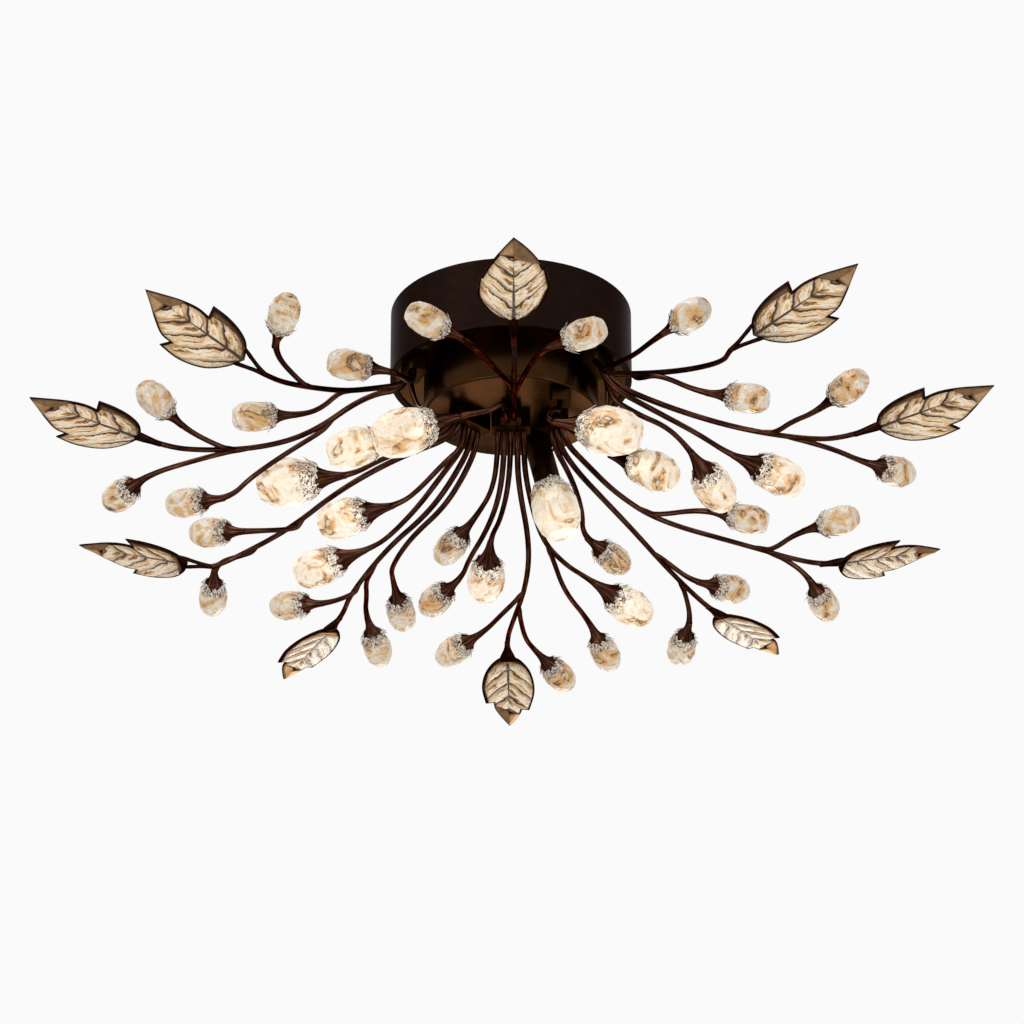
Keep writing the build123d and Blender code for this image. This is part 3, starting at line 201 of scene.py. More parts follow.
# Rods: either block, hole and extra drop, or the rod that it leaves, which run of it, the
# shares of that run where it starts and parts, and the side; then its bends
RODS = {
    "leaf_1": ("north", 1, 0, [(2, -118, -121), (3, -215, -150)]),
    "L1": ("north", 0, 0, [(-5, -74, -117), (-15, -84, -131)]),
    "S3": ("leaf_1", 1, 0.72, 0.96, "right", []),
    "S4": ("leaf_1", 1, 0.66, 0.92, "left", []),
    "S2": ("west", 3, 0, [(-84, -76, -100)]),
    "L2": ("west", 1, 8, [(-68, -44, -118)]),
    "leaf_10": ("west", 2, 0, [(-114, -52, -95), (-137, -88, -116), (-176, -158, -146)]),
    "leaf_9": (
        "west", 0, 0, [(-118, -36, -92), (-164, -12, -116), (-207, -27, -137), (-255, -58, -154)]
    ),
    "S1": ("leaf_10", 3, 0.50, 0.80, "left", []),
    "S9": ("leaf_10", 2, 0.35, 0.90, "right", [(-152, -82, -128)]),
    "S8": ("leaf_9", 4, 0.30, 0.60, "left", []),
    "S10": ("leaf_9", 4, 0.12, 0.40, "right", [(-262, -42, -157)]),
    "S11": ("leaf_9", 2, 0.55, 0.85, "under", [(-180, -20, -135), (-212, -8, -153)]),
    "S5": ("east", 0, 0, [(95, -110, -98)]),
    "leaf_2": ("east", 1, 0, [(108, -84, -98), (141, -138, -123), (166, -190, -143)]),
    "leaf_3": ("east", 3, 0, [(126, -32, -101), (186, -46, -129), (244, -68, -150)]),
    "L11": ("east", 2, 4, [(116, -34, -105), (152, -42, -131)]),
    "L10": ("east", 4, 12, [(104, -31, -108), (126, -42, -124)]),
    "L9": ("east", 5, 6, [(81, -4, -104)]),
    "S6": ("leaf_2", 1, 0.70, 0.90, "under", [(118, -112, -113)]),
    "S7": ("leaf_3", 3, 0.20, 0.50, "right", [(226, -80, -139)]),
    "S14": ("leaf_3", 3, 0.55, 0.85, "left", [(262, -64, -157)]),
    "L3": ("southwest", 5, 0, [(-75, -10, -124), (-108, -16, -142)]),
    "leaf_8": (
        "southwest", 4, 0,
        [(-91, 12, -124), (-142, 46, -138), (-185, 94, -151), (-235, 130, -162)],
    ),
    "L4": ("southwest", 3, 8, [(-54, 14, -128), (-76, 28, -147)]),
    "L5": ("southwest", 2, 0, [(-60, 55, -124), (-79, 86, -136), (-103, 120, -146)]),
    "leaf_7": (
        "southwest", 1, 0,
        [(-51, 60, -126), (-72, 94, -139), (-104, 130, -151), (-138, 198, -163)],
    ),
    "S23": (
        "southwest", 0, 0,
        [(-38, 44, -124), (-56, 80, -138), (-84, 112, -150), (-102, 156, -157)],
    ),
    "S21": ("leaf_7", 4, 0.70, 0.90, "under", []),
    "S22": ("leaf_7", 4, 0.25, 0.70, "right", [(-124, 208, -160)]),
    "S12": ("leaf_8", 3, 0.70, 0.90, "under", []),
    "S13": ("leaf_8", 4, 0.55, 0.75, "right", []),
    "S20": ("southeast", 2, 0, [(50, 44, -127), (60, 82, -140)]),
    "leaf_5": (
        "southeast", 1, 0, [(53, 42, -121), (78, 78, -132), (104, 114, -144), (135, 170, -154)]
    ),
    "leaf_4": (
        "southeast", 0, 0, [(64, 44, -117), (88, 76, -127), (124, 104, -139), (194, 121, -152)]
    ),
    "S16": ("leaf_4", 3, 0.45, 0.85, "right", []),
    "S15": ("leaf_4", 5, 0.10, 0.40, "right", []),
    "S17": ("leaf_4", 5, 0.30, 0.60, "left", []),
    "S18": ("leaf_5", 4, 0.50, 0.80, "right", []),
    "S19": ("leaf_5", 5, 0.25, 0.55, "left", []),
    "S25": ("south", 4, 0, [(-14, 58, -130)]),
    "S24": ("south", 3, 6, [(-9, 60, -136), (-20, 102, -148), (-36, 142, -157)]),
    "L6": ("south", 2, 0, [(-2, 60, -128), (-9, 102, -139)]),
    "leaf_6": ("south", 1, 6, [(6, 52, -130), (16, 122, -152), (13, 180, -164), (1, 240, -171)]),
    "L12": ("south", 0, 0, [(12, 60, -122), (25, 138, -139), (46, 174, -146)]),
    "S26": ("leaf_6", 4, 0.10, 0.40, "left", [(-8, 228, -168)]),
    "S27": ("leaf_6", 4, 0.50, 0.80, "right", [(12, 266, -173)]),
    "S28": ("L12", 3, 0.25, 0.65, "left", [(46, 214, -153)]),
    "L8": ("single", 0, 0, [(35, -70, -121)]),
}

# Seeds of the cuts' small differences, and of the way that each crystal is spun in its bell
CUT_SEED = 17
SPIN_SEED = 5

# Rings of each crystal: distance along the bud, radius and number of corners
CUTS = {
    "small": [
        (8.0, 5.2, 10), (10.0, 7.6, 15), (12.4, 9.2, 15), (15.4, 10.4, 15), (18.6, 11.7, 15),
        (24.5, 12.9, 9), (32.0, 12.9, 9), (38.5, 11.2, 9), (43.5, 7.6, 18),
    ],
    "lit": [
        (12.0, 6.4, 12), (14.0, 8.4, 16), (16.5, 10.6, 16), (19.5, 12.7, 16), (23.5, 14.6, 16),
        (31.0, 16.6, 10), (41.0, 16.8, 10), (50.5, 14.6, 10), (57.0, 10.2, 20),
    ],
    "big": [
        (12.0, 6.4, 12), (14.0, 8.6, 18), (16.8, 11.6, 18), (21.5, 14.8, 18), (27.0, 17.4, 18),
        (35.5, 20.2, 11), (46.5, 20.8, 11), (57.5, 17.8, 11), (65.5, 12.2, 22),
    ],
}

# Ruff of shards at a crystal's root: its lower and upper level, radius and number of shards
RUFFS = {
    "small": (8.5, 23.0, 10.5, 18),
    "lit": (14.0, 31.0, 13.5, 22),
    "big": (14.5, 35.0, 15.5, 24),
}

# Bells: distance along the bud and radius, outside from the rod to the mouth, then inside
BELLS = {
    "small": (
        [
            (-8.0, 0.0), (-8.0, 2.5), (-4.0, 2.9), (0.0, 3.4), (3.0, 4.1), (6.0, 5.2),
            (8.5, 6.7), (10.6, 8.4),
        ],
        [(10.6, 7.7), (8.0, 4.6), (8.0, 0.0)],
    ),
    "lit": (
        [
            (-8.0, 0.0), (-8.0, 2.7), (-4.0, 3.2), (0.0, 3.9), (4.0, 4.9), (8.0, 6.2),
            (11.5, 7.8), (14.5, 9.5), (16.8, 11.2),
        ],
        [(16.8, 10.4), (13.5, 7.6), (12.5, 5.0), (12.5, 0.0)],
    ),
}


def length(name, description, default, low, high):
    """A size that a user may change, given in millimetres and kept in metres."""
    return bpy.props.FloatProperty(
        name=name, description=description, default=default * MM, min=low * MM, max=high * MM,
        subtype="DISTANCE", unit="LENGTH",
    )


def colour(name, description, *default):
    """A colour that a user may change."""
    return bpy.props.FloatVectorProperty(
        name=name, description=description, subtype="COLOR", size=3, default=default,
        min=0.0, max=1.0,
    )


class LightSizes(bpy.types.PropertyGroup):
    """Sizes of the dressed pieces."""

    rod_radius: length("Rod radius", "Radius of a rod where it leaves its block", 2.65, 1.0, 4.0)
    tip_radius: length("Tip radius", "Radius of a rod near its bud or leaf", 2.15, 1.0, 4.0)
    flutes: bpy.props.IntProperty(
        name="Flutes", description="Grooves round each bell", default=9, min=3, max=16
    )
    flute_depth: length("Flute depth", "Depth of the grooves at a bell's mouth", 1.1, 0.0, 2.0)
    petal_height: length(
        "Petal height", "How far the points of a bell's mouth stand out", 3.4, 0.0, 6.0
    )
    vein_pitch: length("Vein pitch", "Distance between the side veins of a leaf", 19.0, 6.0, 30.0)
    vein_sweep: bpy.props.FloatProperty(
        name="Vein sweep", description="How far a vein runs forward for each step outward",
        default=0.95, min=0.0, max=1.5,
    )
    vein_curl: bpy.props.FloatProperty(
        name="Vein curl", description="How much faster a vein runs forward near the rim",
        default=0.012, min=0.0, max=0.05,
    )
    pillow: length("Pillow", "Rise of the pressed glass between its veins", 1.4, 0.0, 3.0)


class LightColours(bpy.types.PropertyGroup):
    """Colours of the dressed pieces."""

    canopy: colour("Canopy", "Satin bronze of the canopy", 0.0150, 0.0074, 0.0054)
    hub: colour("Hub", "Golden brown of the hub and base plate", 0.046, 0.0195, 0.0068)
    branch: colour("Branch", "Red brown of the rods and bells", 0.030, 0.0098, 0.0056)
    # Painted highlight: the colour of the lighter streaks on the rods and bells
    painted_highlight: colour("Polish", "Rubbed streaks on the rods and bells", 0.135, 0.054, 0.033)
    cream: colour("Cream", "Main tint of the lit crystals", 0.93, 0.78, 0.57)
    champagne: colour(
        "Champagne", "Deeper tint of the leaves and of the crystals without a lamp", 0.84, 0.60, 0.34
    )
    amber: colour("Amber", "Warm tint inside the crystals", 0.66, 0.35, 0.12)
    umber: colour("Umber", "Dark lines inside the crystals", 0.060, 0.026, 0.012)
    # Also the colour of the painted glow in the crystals
    glow: colour("Glow", "Light of the lamps", 1.0, 0.90, 0.74)


def heading(turn, rise):
    """Unit vector turned from +X and raised above level, both in degrees."""
    flat = math.cos(math.radians(rise))
    return Vector((
        flat * math.cos(math.radians(turn)),
        flat * math.sin(math.radians(turn)),
        math.sin(math.radians(rise)),
    ))


class Nodes:
    """A node tree under construction, with a short way to add and join its nodes."""

    def __init__(self, tree):
        self.tree = tree

    def feed(self, node, socket, value):
        """Link an output into a node's input, or set the input to a plain value."""
        if isinstance(value, bpy.types.NodeSocket):
            self.tree.links.new(value, node.inputs[socket])
        else:
            node.inputs[socket].default_value = value

    def add(self, kind, inputs=None, **settings):
        """Add a node: settings name its properties, and inputs feed its sockets."""
        node = self.tree.nodes.new(kind)
        for key, value in settings.items():
            setattr(node, key, value)
        for socket, value in (inputs or {}).items():
            self.feed(node, socket, value)
        return node


class Finish(Nodes):
    """A material under construction; every value is an output of a node or a plain one."""

    def __init__(self, name):
        self.material = bpy.data.materials.new(name)
        self.material.use_nodes = True
        super().__init__(self.material.node_tree)
        self.tree.nodes.clear()
        self.surface = self.add("ShaderNodeBsdfPrincipled")
        self.add("ShaderNodeOutputMaterial", {"Surface": self.surface.outputs["BSDF"]})

    def set(self, **values):
        """Feed the shader's own sockets; an underscore stands for a space."""
        for key, value in values.items():
            self.feed(self.surface, key.replace("_", " "), value)

    def coordinates(self, scale=(1.0, 1.0, 1.0)):
        """Object coordinates, stretched by a scale."""
        source = self.add("ShaderNodeTexCoord").outputs["Object"]
        return self.add("ShaderNodeMapping", {"Vector": source, "Scale": scale}).outputs["Vector"]

    def attribute(self, name, output="Fac"):
        """A number or a vector stored on the mesh."""
        return self.add("ShaderNodeAttribute", attribute_name=name).outputs[output]

    def vector(self, *values):
        """A vector of three values."""
        return self.add("ShaderNodeCombineXYZ", dict(enumerate(values))).outputs[0]

    def noise(self, vector, scale, detail=2.0, roughness=0.5, distortion=0.0):
        """Noise value on the given coordinates."""
        return self.add("ShaderNodeTexNoise", {
            "Vector": vector, "Scale": scale, "Detail": detail, "Roughness": roughness,
            "Distortion": distortion,
        }).outputs["Fac"]

    def ramp(self, source, stops):
        """Colour ramp with stops of (position, colour)."""
        node = self.add("ShaderNodeValToRGB", {"Fac": source})
        points = node.color_ramp.elements
        while len(points) < len(stops):
            points.new(0.5)
        for point, (position, tone) in zip(points, stops):
            point.position = position
            point.color = (*tone, 1.0)
        return node.outputs["Color"]

    def math(self, operation, *values):
        """Arithmetic on one or two values."""
        return self.add("ShaderNodeMath", dict(enumerate(values)), operation=operation).outputs[0]

    def times(self, first, second):
        """Product of two values."""
        return self.math("MULTIPLY", first, second)

    def plus(self, first, second):
        """Sum of two values."""
        return self.math("ADD", first, second)

    def minus(self, first, second):
        """Difference of two values."""
        return self.math("SUBTRACT", first, second)

    def mix(self, factor, *tones):
        """Mix of two colours."""
        node = self.add("ShaderNodeMix", {"Factor": factor}, data_type="RGBA")
        for socket, tone in zip((6, 7), tones):
            self.feed(node, socket, (*tone, 1.0) if isinstance(tone, tuple) else tone)
        return node.outputs[2]

    def spread(self, source, low, high, to_low=0.0, to_high=1.0):
        """Map a value from one range to another, clamped."""
        return self.add("ShaderNodeMapRange", {
            "Value": source, "From Min": low, "From Max": high, "To Min": to_low, "To Max": to_high,
        }, clamp=True).outputs["Result"]

    def roughness(self, source, low, high):
        """Feed the roughness, spread between two values."""
        self.set(Roughness=self.spread(source, 0.25, 0.75, low, high))

    def bump(self, height, strength, distance):
        """Feed the normal from a height."""
        inputs = {"Height": height, "Strength": strength, "Distance": distance}
        self.set(Normal=self.add("ShaderNodeBump", inputs).outputs["Normal"])


def clamped(value):
    """A value kept between zero and one."""
    return max(0.0, min(1.0, value))


def scaled(tone, factor):
    """A colour made lighter or darker."""
    return tuple(min(1.0, channel * factor) for channel in tone)


def bronze(name, tone, lift, rough, edge, streak=(60.0, 60.0, 60.0)):
    """Dark bronze with cloudy tone, fine grain, rubbed patches and a brown gloss at its edges."""
    finish = Finish(name)
    clouds = finish.noise(finish.coordinates(), 26.0, 4.0, 0.6)
    grain = finish.noise(finish.coordinates(streak), 9.0, 5.0, 0.65, 0.3)
    base = finish.mix(finish.spread(clouds, 0.35, 0.7), scaled(tone, 0.7), scaled(tone, 1.0))
    surface = finish.mix(finish.spread(grain, 0.52, 0.78), base, scaled(tone, lift))
    finish.set(Base_Color=surface, Metallic=1.0, Specular_Tint=(*edge, 1.0))
    finish.roughness(grain, rough, rough + 0.12)
    finish.bump(grain, 0.1, 0.0003)
    return finish.material


def rod_bronze(name, colours):
    """Red-brown bronze of the rods and bells, with streaks that run along them: painted highlights in
    their lightest tones and painted shade in their darkest.
    """
    finish = Finish(name)
    tone = tuple(colours.branch)
    painted_highlight = tuple(colours.painted_highlight)
    turn = finish.add("ShaderNodeSeparateXYZ", {"Vector": finish.attribute("round", "Vector")})
    reach = finish.times(finish.attribute("along"), 34.0)
    place = finish.vector(turn.outputs["X"], turn.outputs["Y"], reach)
    drift = finish.coordinates((9.0, 9.0, 9.0))
    shift = finish.add("ShaderNodeVectorMath", {0: place, 1: drift}, operation="ADD")
    streak = finish.noise(shift.outputs[0], 1.5, 4.0, 0.6, 0.4)
    # Streak ramp: the darkest stop is painted shade, and the stops made from the highlight colour are
    # painted highlights along the rod.
    surface = finish.ramp(streak, [
        (0.30, scaled(tone, 0.3)), (0.44, tone), (0.55, scaled(painted_highlight, 0.5)),
        (0.62, painted_highlight), (0.70, scaled(tone, 1.1)),
    ])
    finish.set(Base_Color=surface, Metallic=1.0, Specular_Tint=(0.34, 0.30, 0.29, 1.0))
    finish.roughness(streak, 0.20, 0.36)
    finish.bump(streak, 0.35, 0.0005)
    return finish.material


def plain_metal(name, tone, rough):
    """Plated or brass metal with fine directional scratches."""
    finish = Finish(name)
    scratches = finish.noise(finish.coordinates((1.0, 12.0, 1.0)), 180.0, 3.0, 0.6)
    stains = finish.noise(finish.coordinates(), 40.0, 3.0)
    surface = finish.mix(finish.spread(stains, 0.35, 0.75), tone, scaled(tone, 0.72))
    finish.set(Base_Color=surface, Metallic=1.0)
    finish.roughness(scratches, rough, rough + 0.18)
    finish.bump(scratches, 0.08, 0.0003)
    return finish.material


def moulded(name, tone, rough, grain=900.0, shade=0.86):
    """Moulded plastic, rubber or ceramic with a faint grain."""
    finish = Finish(name)
    spots = finish.noise(finish.coordinates(), grain, 2.0)
    patches = finish.noise(finish.coordinates(), 30.0, 2.0)
    surface = finish.mix(finish.spread(patches, 0.3, 0.7), tone, scaled(tone, shade))
    finish.set(Base_Color=surface)
    finish.roughness(spots, rough, rough + 0.1)
    finish.bump(spots, 0.1, 0.0002)
    return finish.material


def cut_glass(name, colours, tint, glow):
    """Champagne crystal: folded veils of its tint and amber, a pale ruff with dark flecks, and a
    painted glow of light in the glass.
    """
    finish = Finish(name)
    place = finish.coordinates()
    amber = tuple(colours.amber)
    umber = tuple(colours.umber)
    pale = (0.98, 0.94, 0.86)
    ruff = finish.attribute("ruff")
    facet = finish.times(finish.minus(finish.attribute("tint"), 0.5), 0.08)
    veil = finish.plus(finish.noise(place, 27.0, 3.5, 0.58, 1.7), facet)
    body = finish.ramp(veil, [
        (0.28, umber), (0.31, scaled(amber, 0.9)), (0.38, tint), (0.46, pale), (0.52, tint),
        (0.57, scaled(amber, 1.3)), (0.605, scaled(amber, 0.7)), (0.62, umber), (0.65, tint),
    ])
    body = finish.mix(finish.spread(ruff, 0.25, 0.75, 0.0, 0.8), body, pale)
    shards = finish.noise(place, 300.0, 3.0, 0.7, 1.8)
    fleck = finish.times(finish.spread(shards, 0.50, 0.53), finish.spread(ruff, 0.1, 0.5))
    # Painted glow: the glass gives off light itself, most where the veils are palest and least on the
    # flecks.
    light = finish.spread(veil, 0.62, 0.46, 0.1, 1.0)
    light = finish.times(light, finish.spread(fleck, 0.0, 1.0, 1.0, 0.05))
    finish.set(
        Base_Color=finish.mix(fleck, body, scaled(umber, 1.6)),
        Transmission_Weight=finish.minus(0.26, finish.times(fleck, 0.25)),
        Roughness=0.06, IOR=1.5, Specular_IOR_Level=0.5,
        Emission_Strength=finish.times(light, glow), Emission_Color=(*colours.glow, 1.0),
    )
    finish.bump(finish.noise(place, 170.0, 3.0, 0.5, 1.4), 0.6, 0.0016)
    return finish.material


def leaf_glass(name, sizes, colours):
    """Pressed champagne glass with dark veins, streaks that run out beside them, and painted shade in
    tan beside each vein for the look of a pressed relief.
    """
    finish = Finish(name)
    cream = scaled(tuple(colours.champagne), 1.06)
    amber = tuple(colours.amber)
    umber = tuple(colours.umber)
    tan = scaled(amber, 0.55)
    flat = finish.add("ShaderNodeUVMap", uv_map="leaf").outputs["UV"]
    split = finish.add("ShaderNodeSeparateXYZ", {"Vector": flat})
    long = split.outputs["X"]
    out = finish.math("ABSOLUTE", split.outputs["Y"])
    wander = finish.times(finish.minus(finish.noise(flat, 7.0, 3.0, 0.6), 0.5), 0.11)

    bend = finish.times(finish.times(out, out), sizes.vein_curl * 100.0)
    run = finish.minus(long, finish.times(out, sizes.vein_sweep))
    run = finish.plus(finish.minus(run, bend), wander)
    share = finish.math("FRACT", finish.math("DIVIDE", run, sizes.vein_pitch * FLAT_SCALE))
    near = finish.minus(0.5, finish.math("ABSOLUTE", finish.minus(share, 0.5)))
    width = finish.spread(out, 0.0, 0.26, 0.105, 0.008)
    side = finish.spread(finish.math("DIVIDE", near, width), 0.55, 1.25)
    rib = finish.plus(out, finish.times(wander, 0.12))
    rib = finish.math("DIVIDE", rib, finish.spread(long, 0.0, 0.70, 0.022, 0.001))
    line = finish.math("MINIMUM", side, finish.spread(rib, 0.5, 1.1))

    half = finish.times(finish.math("SIGN", split.outputs["Y"]), 5.0)
    grain = finish.vector(finish.times(run, 13.0), finish.times(out, 5.5), half)
    streaks = finish.noise(grain, 1.0, 5.0, 0.65, 1.2)
    body = finish.ramp(streaks, [
        (0.28, umber), (0.33, amber), (0.39, cream), (0.46, (0.99, 0.93, 0.80)),
        (0.52, cream), (0.56, (0.72, 0.40, 0.16)), (0.60, scaled(amber, 0.5)), (0.64, umber),
    ])
    # Painted shade: tan darkens the glass just beside each vein and fades away from it, for an embossed
    # look.
    body = finish.mix(finish.spread(share, 0.0, 0.36, 0.9, 0.0), body, tan)
    specks = finish.noise(flat, 75.0, 3.0, 0.7, 1.5)
    speck = finish.times(finish.spread(specks, 0.50, 0.54), finish.spread(long, 0.26, 0.08))
    body = finish.mix(speck, body, umber)
    body = finish.mix(finish.spread(finish.attribute("edge"), 0.1, 1.0, 0.0, 0.75), body, tan)
    finish.set(
        Base_Color=finish.mix(line, umber, body), Roughness=0.09, IOR=1.5,
        Transmission_Weight=0.06, Specular_IOR_Level=0.4,
    )
    finish.bump(finish.plus(streaks, finish.times(line, 0.5)), 0.55, 0.0012)
    return finish.material


def leaf_bronze(name, colours):
    """Cast bronze of a leaf's rim, with a painted highlight in tan on the blade's point and a lighter
    tan on the wide flange.
    """
    finish = Finish(name)
    tone = tuple(colours.branch)
    grain = finish.noise(finish.coordinates(), 85.0, 5.0, 0.65, 0.8)
    dark = finish.mix(finish.spread(grain, 0.36, 0.68), scaled(tone, 0.25), scaled(tone, 0.9))
    # Tan is painted highlight where the bright attribute is high.
    tan = finish.mix(finish.spread(grain, 0.34, 0.66), (0.50, 0.27, 0.13), (0.72, 0.46, 0.25))
    surface = finish.mix(finish.attribute("bright"), dark, tan)
    finish.set(Base_Color=surface, Metallic=1.0, Specular_Tint=(0.42, 0.39, 0.38, 1.0))
    finish.roughness(grain, 0.26, 0.40)
    finish.bump(grain, 0.2, 0.0004)
    return finish.material


def lamp_glow(name, colours):
    """Frosted lamp, a little brighter in some places than in others."""
    finish = Finish(name)
    frost = finish.noise(finish.coordinates(), 700.0, 2.0)
    finish.set(
        Base_Color=finish.mix(
            finish.spread(frost, 0.3, 0.7), (0.95, 0.93, 0.90), (0.84, 0.80, 0.74)
        ),
        Emission_Strength=finish.spread(frost, 0.2, 0.8, 0.8, 1.1),
        Emission_Color=(*colours.glow, 1.0),
    )
    finish.roughness(frost, 0.35, 0.5)
    return finish.material


def dress(material, *names):
    """Give CAD nodes a better material in place of their own."""
    for name in names:
        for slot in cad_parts[name].material_slots:
            slot.material = material


def linked(name, data):
    """A new object in the scene."""
    item = bpy.data.objects.new(name, data)
    bpy.context.scene.collection.objects.link(item)
    return item


def stored(mesh, name, kind, values):
    """Store a value on each vertex of a mesh."""
    layer = mesh.attributes.new(name, kind, "POINT")
    field = "value" if kind == "FLOAT" else "vector"
    for item, value in zip(layer.data, values):
        setattr(item, field, value)


def own(name, mesh, material, slot, *nodes):
    """Link a finished mesh as a piece that rides on the fixture and stands for CAD nodes."""
    mesh.materials.clear()
    mesh.materials.append(material)
    piece = linked(name, mesh)
    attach(piece, FIXTURE)
    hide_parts(*nodes)


def as_mesh(shape, name):
    """Turn a bmesh into a mesh and free it."""
    mesh = bpy.data.meshes.new(name)
    shape.to_mesh(mesh)
    shape.free()
    return mesh


def plain_mesh(name, holder, tree, **inputs):
    """The plain mesh that a geometry nodes tree makes of an object, which is removed after."""
    modifier = holder.modifiers.new("make", "NODES")
    modifier.node_group = tree
    sockets = {item.name: item.identifier for item in tree.interface.items_tree}
    for key, value in inputs.items():
        modifier[sockets[key]] = value
    bpy.context.view_layer.update()
    graph = bpy.context.evaluated_depsgraph_get()
    result = bpy.data.meshes.new_from_object(holder.evaluated_get(graph))
    result.name = name
    holder.modifiers.clear()
    bpy.data.objects.remove(holder)
    return result


def new_tree(name, **inputs):
    """An empty geometry nodes tree with named inputs, and the outputs of its first node."""
    tree = bpy.data.node_groups.new(name, "GeometryNodeTree")
    tree.interface.new_socket("Geometry", in_out="INPUT", socket_type="NodeSocketGeometry")
    for key, value in inputs.items():
        kind = "NodeSocketInt" if isinstance(value, int) else "NodeSocketFloat"
        tree.interface.new_socket(key, in_out="INPUT", socket_type=kind).default_value = value
    tree.interface.new_socket("Geometry", in_out="OUTPUT", socket_type="NodeSocketGeometry")
    nodes = Nodes(tree)
    return nodes, nodes.add("NodeGroupInput").outputs


def close_tree(nodes, geometry, material):
    """End a tree: make its copies real, give them their material and hand them out."""
    real = nodes.add("GeometryNodeRealizeInstances", {"Geometry": geometry})
    paint = nodes.add(
        "GeometryNodeSetMaterial", {"Geometry": real.outputs["Geometry"], "Material": material}
    )
    nodes.add("NodeGroupOutput", {"Geometry": paint.outputs["Geometry"]})
    return nodes.tree


def rod_tree(material):
    """Geometry nodes that draw a round rod along each curve, as thick as the curve's radius."""
    nodes, entry = new_tree("rods", Sides=ROD_SIDES)

    def marked(geometry, name, kind, value):
        inputs = {"Geometry": geometry, "Name": name, "Value": value}
        node = nodes.add("GeometryNodeStoreNamedAttribute", inputs, data_type=kind, domain="POINT")
        return node.outputs["Geometry"]

    steps = nodes.add(
        "GeometryNodeResampleCurve", {"Curve": entry["Geometry"]}, mode="EVALUATED"
    )
    reach = nodes.add("GeometryNodeSplineParameter").outputs["Length"]
    circle = nodes.add(
        "GeometryNodeCurvePrimitiveCircle", {"Radius": 1.0, "Resolution": entry["Sides"]}
    )
    place = nodes.add("GeometryNodeInputPosition").outputs["Position"]
    body = nodes.add("GeometryNodeCurveToMesh", {
        "Curve": marked(steps.outputs["Curve"], "along", "FLOAT", reach),
        "Profile Curve": marked(circle.outputs["Curve"], "round", "FLOAT_VECTOR", place),
        "Scale": nodes.add("GeometryNodeInputRadius").outputs["Radius"],
        "Fill Caps": True,
    })
    smooth = nodes.add("GeometryNodeSetShadeSmooth", {"Geometry": body.outputs["Mesh"]})
    return close_tree(nodes, smooth.outputs["Geometry"], material)


def copies_tree(name, piece, material):
    """Geometry nodes that set a copy of a piece on each point, by the point's own turn."""
    nodes, entry = new_tree(name, Size=1.0)
    turn = nodes.add("GeometryNodeInputNamedAttribute", {"Name": "turn"}, data_type="FLOAT_VECTOR")
    rotation = nodes.add("FunctionNodeEulerToRotation", {"Euler": turn.outputs["Attribute"]})
    copies = nodes.add("GeometryNodeInstanceOnPoints", {
        "Points": entry["Geometry"],
        "Instance": nodes.add("GeometryNodeObjectInfo", {"Object": piece}).outputs["Geometry"],
        "Rotation": rotation.outputs["Rotation"],
        "Scale": entry["Size"],
    })
    return close_tree(nodes, copies.outputs["Instances"], material)


def repeated(name, mesh, places, material):
    """One plain mesh of a piece set at every place, each a matrix."""
    single = linked(name + "_single", mesh)
    points = bpy.data.meshes.new(name + "_points")
    points.from_pydata([place.to_translation() for place in places], [], [])
    stored(points, "turn", "FLOAT_VECTOR", [place.to_euler("XYZ") for place in places])
    holder = linked(name + "_points", points)
    result = plain_mesh(name, holder, copies_tree(name + "_copies", single, material), Size=1.0)
    bpy.data.objects.remove(single)
    return result


def seat_of(name):
    """Where a rod ends, in millimetres: the neck of its bud or the ferrule of its leaf."""
    if name in LEAVES:
        leaf = LEAVES[name]
        direction = heading(leaf.turn, leaf.rise)
        return Vector(leaf.base) - direction * FERRULE_LENGTH, direction
    bud = BUDS[name]
    return Vector(bud.neck), heading(bud.turn, bud.rise)


def corners(name):
    """Corners of a rod's route in millimetres, from its block or its carrier to near its seat."""
    start, *terms, bends = RODS[name]
    seat, direction = seat_of(name)
    if start in BLOCKS:
        hole, drop = terms
        middle, outward, holes, level = BLOCKS[start]
        shift = heading(outward + 90.0, 0.0) * HOLE_PITCH * (hole - (holes - 1) / 2)
        top = Vector((*middle, level)) + shift
        line = [top, top - UP * (BLOCK_DEPTH + BLOCK_DROP + drop)]
    else:
        run, leaves_at, parts_at, side = terms
        first, last = corners(start)[run:run + 2]
        along = (last - first).normalized()
        left = UP.cross(along).normalized()
        offset = {"left": left, "right": -left, "under": left.cross(along)}[side] * BESIDE_PITCH
        line = [
            first.lerp(last, leaves_at),
            first.lerp(last, (leaves_at + parts_at) / 2) + offset * 0.6,
            first.lerp(last, parts_at) + offset,
        ]
    return line + [Vector(bend) for bend in bends] + [seat - direction * STRAIGHT_END]


def rod_points(name, sizes):
    """Control points of a rod with the radius at each, in metres."""
    seat, direction = seat_of(name)
    line = corners(name)
    thick = sizes.rod_radius
    thin = sizes.tip_radius
    count = len(line)
    if RODS[name][0] in BLOCKS:
        radii = [thick + (thin - thick) * min(1.0, index / (count - 2)) for index in range(count)]
    else:
        radii = [thin * 0.6, thin * 0.95] + [thin] * (count - 2)
    if name in BUDS:
        reach, swell = 1.0, 1.5
    elif LEAVES[name].fork:
        reach, swell = 2.0 - LEAVES[name].fork, 1.0
    else:
        reach, swell = 2.0, 1.1
    line.append(seat + direction * reach)
    radii.append(thin * swell)
    return [(point * MM, radius) for point, radius in zip(line, radii)]


